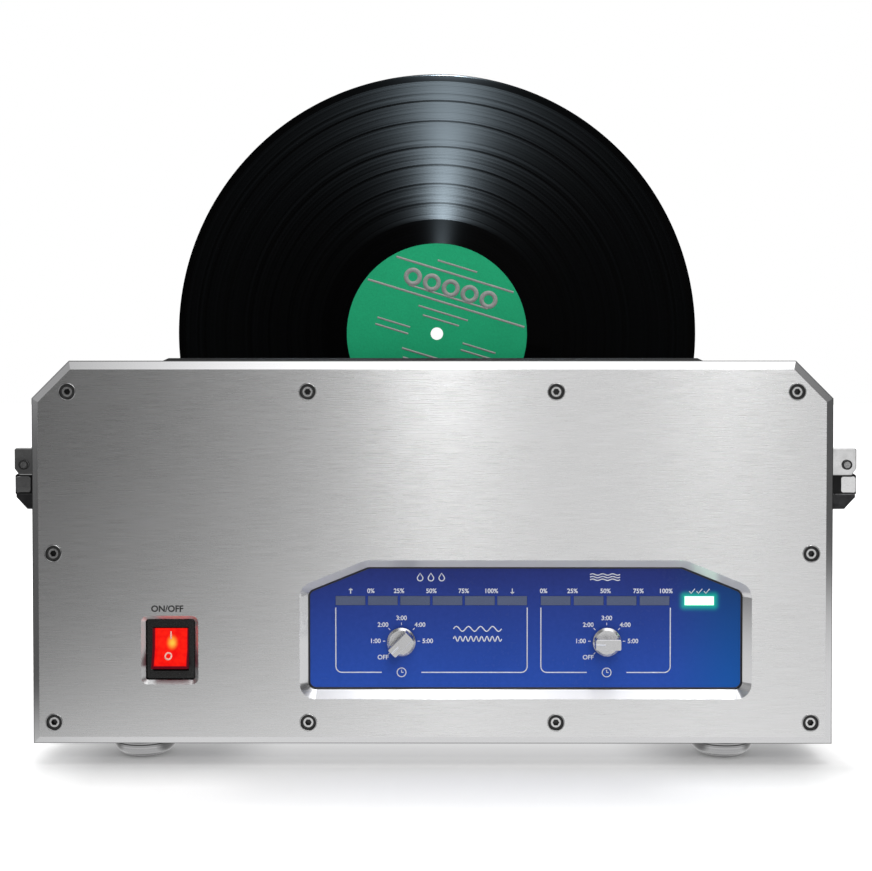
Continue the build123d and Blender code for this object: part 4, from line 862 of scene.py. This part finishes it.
record_low, record_high = box_of("record")
rim_radius = (record_high.x - record_low.x) / 2
half_bead = (record_high.y - record_low.y) / 2
half_grooves = 0.75 * mm
seat_radius = 53.5 * mm
hole_radius = 3.65 * mm
bead_points = 5
seat = [(hole_radius, 0.8), (hole_radius + 0.2 * mm, 1.0), (seat_radius, 1.0), (seat_radius + 0.6 * mm, 0.75)]
half_outline = [(radius, share * half_bead) for radius, share in seat]
half_outline.append((rim_radius - 4.2 * mm, half_grooves))
for point in range(bead_points + 1):
    turn = math.pi / 2 * point / bead_points
    bead = (rim_radius - half_bead + half_bead * math.sin(turn), half_bead * math.cos(turn))
    half_outline.append(bead)
outline = half_outline + [(radius, -depth) for radius, depth in reversed(half_outline[:-1])]
disc_mesh = turned_mesh("record_disc", outline, record_middle)
record_disc = piece("record_disc", disc_mesh, finishes["grooved_vinyl"])
for face in record_disc.data.polygons:
    face.use_smooth = True
record_disc.data.set_sharp_from_angle(angle=math.radians(28))
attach(record_disc, "record")
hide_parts("record")
lit_by_groove_lamp.objects.link(record_disc)

# %% [markdown]
# ## Printed lines
# Print is a real layer of ink a few hundredths of a millimetre thick. Frames, bars and icons
# are all strokes of one width along a path, so one Geometry Nodes tree makes them: it rounds
# the path's corners, sweeps a flat section along it and stands the result up on its
# surface. The path is drawn flat first, because a flat path keeps its section level.


# %% Line tree
quarter_turn = (math.pi / 2, 0.0, 0.0)


def geometry_tree(name, **inputs):
    inputs = {socket_title(key): value for key, value in inputs.items()}
    inputs = {"Geometry": "NodeSocketGeometry", **inputs, "Ink": "NodeSocketMaterial"}
    return new_group(name, "GeometryNodeTree", inputs, "Geometry", "NodeSocketGeometry")


def moved(geometry, turn):
    return output_of(tree_of(geometry), "GeometryNodeTransform", {"Geometry": geometry, "Rotation": turn})


def flat_section(tree, start):
    sizes = {"Width": start["Width"], "Height": start["Thickness"]}
    return output_of(tree, "GeometryNodeCurvePrimitiveQuadrilateral", sizes)


def close_tree(tree, start, end, geometry):
    whole = output_of(tree, "GeometryNodeRealizeInstances", {"Geometry": geometry})
    painted = output_of(tree, "GeometryNodeSetMaterial", {"Geometry": whole, "Material": start["Ink"]})
    tree.links.new(painted, end[0])
    return tree


def line_tree():
    tree, start, end = geometry_tree("printed_lines", width=0.5 * mm, thickness=0.04 * mm, corner=0.0)
    path = output_of(tree, "GeometryNodeMeshToCurve", {"Mesh": start["Geometry"]})
    level = output_of(tree, "GeometryNodeSetCurveNormal", {"Curve": path}, mode="Z_UP")
    corners = {"Curve": level, "Radius": start["Corner"], "Limit Radius": True, "Count": 6}
    rounded = output_of(tree, "GeometryNodeFilletCurve", corners, mode="POLY")
    sweep = {"Curve": rounded, "Profile Curve": flat_section(tree, start), "Fill Caps": True}
    swept = output_of(tree, "GeometryNodeCurveToMesh", sweep)
    return close_tree(tree, start, end, moved(swept, quarter_turn))


def run_tree(tree, mesh, **values):
    """Runs a tree on a mesh and returns the plain mesh that it makes."""
    carrier = piece("carrier", mesh)
    modifier = carrier.modifiers.new("made", "NODES")
    modifier.node_group = tree
    for item in tree.interface.items_tree:
        key = item.name.lower().replace(" ", "_")
        if item.in_out == "INPUT" and key in values:
            modifier[item.identifier] = values[key]
    carrier.update_tag()
    seen_by = bpy.context.evaluated_depsgraph_get()
    made = bpy.data.meshes.new_from_object(carrier.evaluated_get(seen_by))
    bpy.data.objects.remove(carrier)
    return made


printed_lines = line_tree()
print("tree", printed_lines.name, len(printed_lines.nodes), "nodes")


# %% Strokes and words
def settled(name, mesh, body, ink):
    """A piece of one finish that rides on a body."""
    mesh.materials.clear()
    made = piece(name, mesh, ink)
    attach(made, body)
    print(name, len(mesh.polygons), "faces on", body)
    return made


capital_share = 0.70


class Sheet:
    """Ink for one surface: strokes and words at (x, z), laid a hair proud of a depth."""

    def __init__(self, ink, depth, thickness=0.04 * mm, bold=0.06 * mm):
        self.ink, self.depth, self.thickness, self.bold = finishes[ink], depth, thickness, bold
        self.shape = bmesh.new()

    def add(self, mesh, x=0.0, z=0.0):
        mesh.transform(Matrix.Translation((x, self.depth - self.thickness / 2, z)))
        self.shape.from_mesh(mesh)
        bpy.data.meshes.remove(mesh)

    def stroke(self, *paths, width=0.5 * mm, corner=0.0, closed=False):
        mesh = bpy.data.meshes.new("path")
        points, edges = [], []
        for path in paths:
            first = len(points)
            points += [(x, z, 0.0) for x, z in path]
            edges += [(index, index + 1) for index in range(first, len(points) - 1)]
            if closed:
                edges.append((len(points) - 1, first))
        mesh.from_pydata(points, edges, [])
        sizes = {"width": width, "thickness": self.thickness, "corner": corner}
        self.add(run_tree(printed_lines, mesh, ink=self.ink, **sizes))

    def words(self, text, x, z, height):
        letters = bpy.data.curves.new(text, "FONT")
        letters.body = text
        letters.align_x = letters.align_y = "CENTER"
        letters.size = height / capital_share
        letters.extrude = self.thickness / 2
        letters.offset = self.bold
        letters.resolution_u = 4
        holder = piece("letters", letters)
        made = bpy.data.meshes.new_from_object(holder.evaluated_get(bpy.context.evaluated_depsgraph_get()))
        bpy.data.objects.remove(holder)
        made.transform(Matrix.Rotation(math.pi / 2, 4, "X"))
        self.add(made, x, z)

    def circle(self, x, z, radius, width=0.5 * mm, steps=28):
        turns = [2 * math.pi * step / steps for step in range(steps)]
        path = [(x + radius * math.cos(turn), z + radius * math.sin(turn)) for turn in turns]
        self.stroke(path, width=width, closed=True)

    def wave(self, x, z, length, height, waves, steps, width):
        path = []
        for step in range(steps + 1):
            share = step / steps
            rise = height / 2 * math.sin(2 * math.pi * waves * share)
            path.append((x + length * (share - 0.5), z + rise))
        self.stroke(path, width=width)

    def drape(self, under):
        """Lays the ink on a surface that isn't level, as seen from the front."""
        skin = BVHTree.FromObject(under, bpy.context.evaluated_depsgraph_get())
        for vert in self.shape.verts:
            start = Vector((vert.co.x, self.depth - 50 * mm, vert.co.z))
            vert.co.y += skin.ray_cast(start, Vector((0.0, 1.0, 0.0)))[0].y - self.depth

    def finish(self, name, body, slot):
        bmesh.ops.remove_doubles(self.shape, verts=self.shape.verts, dist=0.002 * mm)
        return settled(name, mesh_of(name, self.shape), body, self.ink)


# %% [markdown]
# ## Print on the display
# Each row of bars stands over an open frame that takes in its dial. The numbers over the
# bars say how far the step has come, and the numbers round the dials are minutes. Words are
# replaced by plain signs: a drop for washing, moving air for drying, a clock under each
# dial, an arrow up for filling and one down for emptying.

# %% Display print
display_print = Sheet("white_print", panel_low.y)
line_width = 0.55 * mm
thin_line = 0.5 * mm
bar_half = 7.75 * mm
bar_middle = (bars_low.z + bars_high.z) / 2
frame_top = bar_middle - 3.6 * mm
frame_low = panel_low.z + 8.5 * mm
gap_half = 10.3 * mm
washing_left, washing_right = bars_low.x, 49.3 * mm
drying_left, drying_right = 56.4 * mm, 123.6 * mm
rows = ((washing_left, washing_right, washing_dial), (drying_left, drying_right, drying_dial))
for left, right, dial in rows:
    left_leg = [(left, frame_top), (left, frame_low), (dial.x - gap_half, frame_low)]
    right_leg = [(dial.x + gap_half, frame_low), (right, frame_low), (right, frame_top)]
    display_print.stroke(left_leg, right_leg, width=line_width, corner=3.1 * mm)
small_text = 2.3 * mm
label_row = bar_middle + 5.0 * mm
washing_marks = (-31.9, -17.3, -0.5, 16.3, 30.6)
drying_marks = (57.8, 72.8, 89.9, 107.0, 121.2)
for places in (washing_marks, drying_marks):
    for share, place in zip(("0%", "25%", "50%", "75%", "100%"), places):
        display_print.words(share, place * mm, label_row, small_text)
first_stop, stop_step = 225, 45
dial_words = ("OFF", "1:00", "2:00", "3:00", "4:00", "5:00")
reach_up, reach_aside = 12.0 * mm, 13.6 * mm
for dial in dials:
    for stop, word in enumerate(dial_words):
        turn = math.radians(first_stop - stop * stop_step)
        place = (dial.x + reach_aside * math.cos(turn), dial.z + reach_up * math.sin(turn))
        display_print.words(word, *place, small_text)
print("words set out round", len(dial_words), "stops")


# %% Signs
def drop_sign(sheet, x, z, size, width):
    """A drop: a round belly drawn up to a point."""
    belly = 0.36 * size
    low = z - 0.5 * size + belly
    path = [(x, z + 0.5 * size)]
    for step in range(15):
        turn = math.radians(25 - 230 * step / 14)
        path.append((x + belly * math.cos(turn), low + belly * math.sin(turn)))
    sheet.stroke(path, width=width, closed=True)


def clock_sign(sheet, x, z, size, width):
    sheet.circle(x, z, size / 2, width=width, steps=20)
    sheet.stroke([(x, z + 0.30 * size), (x, z), (x + 0.22 * size, z)], width=width)


def arrow_sign(sheet, x, z, size, width, up):
    tip = z + up * size / 2
    wing = 0.32 * size
    sheet.stroke([(x, z - up * size / 2), (x, tip)], width=width)
    sheet.stroke([(x - wing, tip - up * wing), (x, tip), (x + wing, tip - up * wing)], width=width)


sign_size = 4.0 * mm
heading_row = bar_middle + 12.3 * mm
for step in (-1, 0, 1):
    drop_sign(display_print, (-0.7 + 5.6 * step) * mm, heading_row, sign_size, line_width)
    for row in (-1, 0, 1):
        wave_row = heading_row + row * 0.34 * sign_size
        air_x = (89.7 + 5.2 * step) * mm
        display_print.wave(air_x, wave_row, 1.3 * sign_size, 0.18 * sign_size, 1, 16, line_width)
for dial in dials:
    clock_sign(display_print, dial.x, frame_low, 4.6 * mm, thin_line)
arrow_sign(display_print, washing_left + bar_half, label_row, 1.2 * small_text, thin_line, 1)
arrow_sign(display_print, washing_right - bar_half, label_row, 1.2 * small_text, thin_line, -1)
tick_shape = ((-1.4, 0.0), (-0.4, -1.1), (1.5, 1.2))
for shift in (-3.8, 0.0, 3.8):
    tick_path = [(done_middle.x + (shift + x) * mm, label_row + z * mm) for x, z in tick_shape]
    display_print.stroke(tick_path, width=thin_line)
rating_x, rating_length, rating_height = 23.5 * mm, 25.0 * mm, 2.6 * mm
for rise, waves in ((6.4 * mm, 4), (1.2 * mm, 9)):
    rating_z = washing_dial.z + rise
    display_print.wave(rating_x, rating_z, rating_length, rating_height, waves, 12 * waves, 0.6 * mm)
display_print.finish("display_print", "case", "panel_blue")

# %% [markdown]
# ## Stops round the dials
# Short ticks point from each dial to its numbers. They sit at even steps on part of a
# circle, which is what instances on points are for.


# %% Dial tree
def dial_tree():
    tree, start, end = geometry_tree(
        "dial_stops", stops=6, first_angle=math.radians(first_stop), last_angle=0.0, radius=9.0 * mm,
        tick=(1.3 * mm, 0.04 * mm, 0.35 * mm),
    )
    points = output_of(tree, "GeometryNodeMeshLine", {"Count": start["Stops"]}, mode="OFFSET")
    index = output_of(tree, "GeometryNodeInputIndex")
    share = calculate("DIVIDE", index, calculate("SUBTRACT", start["Stops"], 1.0))
    sweep = calculate("SUBTRACT", start["Last Angle"], start["First Angle"])
    angle = calculate("MULTIPLY_ADD", share, sweep, start["First Angle"])
    along = product(calculate("COSINE", angle), start["Radius"])
    rise = product(calculate("SINE", angle), start["Radius"])
    places = {"Geometry": points, "Position": combine(tree, along, 0.0, rise)}
    spread = output_of(tree, "GeometryNodeSetPosition", places)
    tick = output_of(tree, "GeometryNodeMeshCube", {"Size": start["Tick"]})
    copies = {"Points": spread, "Instance": tick, "Rotation": combine(tree, 0.0, product(angle, -1.0), 0.0)}
    return close_tree(tree, start, end, output_of(tree, "GeometryNodeInstanceOnPoints", copies))


dial_stops = dial_tree()
white_print = finishes["white_print"]
ticks = bmesh.new()
for dial in dials:
    mesh = run_tree(dial_stops, bpy.data.meshes.new("ticks"), ink=white_print)
    mesh.transform(Matrix.Translation((dial.x, panel_low.y - 0.02 * mm, dial.z)))
    ticks.from_mesh(mesh)
    bpy.data.meshes.remove(mesh)
settled("dial_ticks", mesh_of("dial_ticks", ticks, turn_outwards=False), "case", white_print)

# %% [markdown]
# ## Marks on the plate, the knobs and the rocker
# A thin dark line round the display, inside its recess, is painted shade. The switch says
# ON/OFF above it and has a line and a ring on its rocker, and each knob has a line on its grip
# that points at the stops. The rocker is bent, so its marks are laid on it by a ray from the front.

# %% Marks
# Painted shade: a thin dark line just inside the display's edge, in its recess.
shade_line = Sheet("dark_print", panel_low.y)
cut_x, cut_z, shade_line_inset = 31 * mm, 12.5 * mm, 0.35 * mm
shade_line_left, shade_line_right = panel_low.x + shade_line_inset, panel_high.x - shade_line_inset
shade_line_low, shade_line_high = panel_low.z + shade_line_inset, panel_high.z - shade_line_inset
shade_line_path = [(shade_line_left, shade_line_low), (shade_line_right, shade_line_low), (shade_line_right, shade_line_high - cut_z)]
shade_line_path += [(shade_line_right - cut_x, shade_line_high), (shade_line_left + cut_x, shade_line_high), (shade_line_left, shade_line_high - cut_z)]
shade_line.stroke(shade_line_path, width=0.8 * mm, corner=3.6 * mm, closed=True)
shade_line.finish("panel_seal", "case", "panel_blue")

switch_print = Sheet("dark_print", plate_low.y, bold=0.12 * mm)
switch_print.words("ON/OFF", switch_middle.x - 1.2 * mm, switch_middle.z + 20.9 * mm, 3.2 * mm)
switch_print.finish("switch_print", "case", "front_metal")

rocker_marks = Sheet("rocker_ink", rocker_low.y)
line_x, ring_x = switch_middle.x + 0.3 * mm, switch_middle.x - 0.8 * mm
line_z, ring_z = switch_middle.z + 7.0 * mm, switch_middle.z - 3.6 * mm
rocker_marks.stroke([(line_x, line_z - 2.0 * mm), (line_x, line_z + 2.0 * mm)], width=0.8 * mm)
rocker_marks.circle(ring_x, ring_z, 1.6 * mm, width=0.8 * mm, steps=24)
rocker_marks.drape(frame["nodes"]["power_rocker"])
rocker_marks.finish("rocker_marks", "power_rocker", "rocker_red")

knob_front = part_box("washing_knob")[0][1]
for body, dial, angle in (("washing_knob", washing_dial, 225), ("drying_knob", drying_dial, 180)):
    along = Vector((math.cos(math.radians(angle)), 0.0, math.sin(math.radians(angle))))
    ends = [dial + reach * along for reach in (6.3 * mm, 1.5 * mm)]
    pointer = [(end.x, end.z) for end in ends]
    knob_mark = Sheet("white_print", knob_front)
    knob_mark.stroke(pointer, width=0.9 * mm)
    knob_mark.finish(body + "_pointer", body, "knob_metal")

# %% [markdown]
# ## Rings round the screws
# Each screw sits in a counterbore with a small milled edge, and a dark ring round its head is
# painted shade in the gap. Both are rings at the same ten places, and the handle pins have the
# dark ring too, so one tree puts a ring with a square or a slanting section at every point that
# it is given. The points are the middles of the loose parts of the screws' mesh.


# %% Screw rings
def ring_tree():
    tree, start, end = geometry_tree(
        "rings_at_points", radius=3.5 * mm, width=1.0 * mm, thickness=0.1 * mm, tilt=0.0
    )
    round_path = {"Resolution": 40, "Radius": start["Radius"]}
    circle = output_of(tree, "GeometryNodeCurvePrimitiveCircle", round_path)
    leaning = moved(flat_section(tree, start), combine(tree, 0.0, 0.0, start["Tilt"]))
    ring = output_of(tree, "GeometryNodeCurveToMesh", {"Curve": circle, "Profile Curve": leaning})
    points = output_of(tree, "GeometryNodeMeshToPoints", {"Mesh": start["Geometry"]})
    copies = {"Points": points, "Instance": moved(ring, quarter_turn)}
    return close_tree(tree, start, end, output_of(tree, "GeometryNodeInstanceOnPoints", copies))


def island_middles(node):
    """The middles (x, z) of the loose parts of a node's mesh."""
    shape = bmesh.new()
    shape.from_mesh(frame["nodes"][node].data)
    bmesh.ops.remove_doubles(shape, verts=shape.verts, dist=0.001 * mm)
    waiting = set(shape.verts)
    middles = set()
    while waiting:
        island, edge = set(), [waiting.pop()]
        while edge:
            vert = edge.pop()
            island.add(vert)
            others = {link.other_vert(vert) for link in vert.link_edges} & waiting
            waiting -= others
            edge += others
        xs, zs = [vert.co.x for vert in island], [vert.co.z for vert in island]
        middles.add((round((min(xs) + max(xs)) / 2, 5), round((min(zs) + max(zs)) / 2, 5)))
    shape.free()
    return sorted(middles)


def rings_at(name, places, depth, ink, slot, **sizes):
    points = bpy.data.meshes.new("points")
    points.from_pydata([(x, depth, z) for x, z in places], [], [])
    shape = bmesh.new()
    shape.from_mesh(run_tree(rings_at_points, points, ink=finishes[ink], **sizes))
    return settled(name, mesh_of(name, shape), "case", finishes[ink])


rings_at_points = ring_tree()
screw_places = island_middles("front_screws")
screw_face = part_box("front_screws")[0][1]
pin_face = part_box("handle_pins")[0][1]
# Painted shade: a dark ring in the gap round each screw head.
rings_at(
    "screw_washers", screw_places, screw_face - 0.03 * mm, "black_rubber", "screw_steel",
    radius=3.25 * mm, width=1.35 * mm, thickness=0.16 * mm,
)
rings_at(
    "screw_edges", screw_places, plate_low.y, "polished_cast", "front_metal",
    radius=4.25 * mm, width=0.5 * mm, thickness=0.5 * mm, tilt=math.pi / 4,
)
# Painted shade: a dark ring round each handle pin.
rings_at(
    "pin_washers", island_middles("handle_pins"), pin_face, "black_rubber", "pin_steel",
    radius=2.3 * mm, width=0.9 * mm, thickness=0.3 * mm,
)

# %% [markdown]
# ## Ends of the handles
# Each cast handle has a raised pad on its end face, and below it a facet that turns outwards.
# Both are thin blocks over an outline, thicker on one side than on the other, so the facet
# really leans and shows another part of the room than the pad does. The pad's light finish on
# the darker handle is a painted highlight, and the facet's near-black finish adds painted shade
# to its lean. A thin black block behind them is painted shade under the lug.


# %% Handle ends
def wedge_block(shape, outline, back, inner, outer, front):
    """A closed block over an (x, z) outline whose thickness goes from inner to outer along x."""
    xs = [abs(x) for x, _ in outline]
    nearest, reach = min(xs), max(xs) - min(xs)
    behind = [shape.verts.new((x, back, z)) for x, z in outline]
    before = []
    for x, z in outline:
        thickness = inner + (outer - inner) * (abs(x) - nearest) / reach
        before.append(shape.verts.new((x, back + front * thickness, z)))
    shape.faces.new(before)
    shape.faces.new(behind[::-1])
    bridge(shape, behind, before)


pad_outline = [(227.6, 136.3), (228.4, 135.5), (234.9, 135.5), (235.7, 136.3), (235.7, 143.7), (234.9, 144.5)]
pad_outline += [(228.4, 144.5), (227.6, 143.7)]
facet_outline = [(219.6, 126.7), (229.3, 126.7), (235.5, 132.9), (235.5, 134.6), (219.6, 134.6)]
seam_outline = [(219.2, 134.8), (236.0, 134.8), (236.0, 145.0), (235.2, 145.8), (219.2, 145.8)]
end_blocks = {
    # The pad's light finish on the darker handle is a painted highlight.
    "pads": (pad_outline, 0.25 * mm, 0.7 * mm, "polished_cast", 0.15 * mm),
    "facets": (facet_outline, 3.4 * mm, 0.3 * mm, "blackened_cast", 0.15 * mm),
    # The black block is painted shade under the lug.
    "seams": (seam_outline, 0.12 * mm, 0.12 * mm, "satin_black", 0.0),
}
for body, side in (("handle_left", -1), ("handle_right", 1)):
    low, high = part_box(body)
    for title, (outline, inner, outer, ink, edge) in end_blocks.items():
        blocks = bmesh.new()
        placed = [(side * x * mm, z * mm) for x, z in outline]
        for face, front in ((low[1], -1.0), (high[1], 1.0)):
            wedge_block(blocks, placed, face, inner, outer, front)
        bmesh.ops.recalc_face_normals(blocks, faces=blocks.faces)
        if edge:
            bmesh.ops.bevel(blocks, geom=blocks.edges[:], offset=edge, segments=1, affect="EDGES")
        name = body + "_" + title
        end = settled(name, mesh_of(name, blocks, turn_outwards=False), body, finishes[ink])
        if side > 0 and title == "pads":
            lit_by_lug_lamp.objects.link(end)

# %% [markdown]
# ## Trim round the switch
# The hole of the switch has a broad satin edge. It is a frame with a slanting section that
# follows a rounded rectangle, and it lies on the milled edge of the plate.

# %% Switch trim
housing_low, housing_high = box_of("power_switch_housing")
housing_z = middle("power_switch_housing").z
housing_half = (housing_high - housing_low) / 2


def rounded_loop(shape, margin, corner, depth):
    """Points round a rectangle that is a margin larger than the switch's housing."""
    loop = []
    reach_x, reach_z = housing_half.x + margin - corner, housing_half.z + margin - corner
    for quarter, (sign_x, sign_z) in enumerate(((1, 1), (-1, 1), (-1, -1), (1, -1))):
        for step in range(7):
            turn = math.pi / 2 * (quarter + step / 6)
            x = switch_middle.x + sign_x * reach_x + corner * math.cos(turn)
            z = housing_z + sign_z * reach_z + corner * math.sin(turn)
            loop.append(shape.verts.new((x, depth, z)))
    return loop


trim_width, trim_back = 2.0 * mm, plate_low.y + 1.95 * mm
trim = bmesh.new()
loops = [
    rounded_loop(trim, trim_width, 3.4 * mm, plate_low.y - 0.05 * mm),
    rounded_loop(trim, 0.05 * mm, 1.5 * mm, trim_back),
    rounded_loop(trim, trim_width, 3.4 * mm, trim_back),
]
for first, second in zip(loops, loops[1:] + loops[:1]):
    bridge(trim, first, second)
settled("switch_trim", mesh_of("switch_trim", trim), "case", finishes["satin_trim"])

# %% [markdown]
# ## Print on the label
# The label carries a plain design of its own: two stripes from edge to edge, a row of rings
# between them and short bars where a list of tracks would stand. It is the same on both
# sides, and it turns with the record.

# %% Label print
label_low, label_high = box_of("record_label")
label_radius = (label_high.x - label_low.x) / 2 - 0.9 * mm
label_lean = math.radians(-17)
stripe_width = 1.3 * mm
thin_bars = [(0.0, 41.0, 12), (0.0, 22.4, 24), (0.0, 12.5, 15), (0.0, 8.0, 11)]
thin_bars += [(side * 26, rise, 10) for rise in (-1.0, -5.0) for side in (-1, 1)]
track_bars = [(0.0, -(14 + 5 * row), 17 - 2 * row) for row in range(5)]


def label_design(sheet, mirror):
    along = (mirror * math.cos(label_lean), math.sin(label_lean))
    up = (-mirror * math.sin(label_lean), math.cos(label_lean))

    def at(distance, rise):
        x = record_middle.x + distance * along[0] + rise * up[0]
        return (x, record_middle.z + distance * along[1] + rise * up[1])

    def bar(aside, rise, reach, width):
        sheet.stroke([at(aside - reach, rise), at(aside + reach, rise)], width=width)

    for rise in (36 * mm, 18.5 * mm):
        bar(0.0, rise, math.sqrt(label_radius**2 - (rise + stripe_width) ** 2), stripe_width)
    for step in range(-2, 3):
        sheet.circle(*at(step * 11.5 * mm, 27.6 * mm), 4.0 * mm, width=2.6 * mm, steps=32)
    for bars, width in ((thin_bars, 1.1 * mm), (track_bars, 1.2 * mm)):
        for aside, rise, reach in bars:
            bar(aside * mm, rise * mm, reach * mm, width)


for side, depth, mirror in (("front", label_low.y, 1), ("back", label_high.y + 0.04 * mm, -1)):
    label_sheet = Sheet("label_ink", depth)
    label_design(label_sheet, mirror)
    label_sheet.finish("label_print_" + side, "record", "label_green")
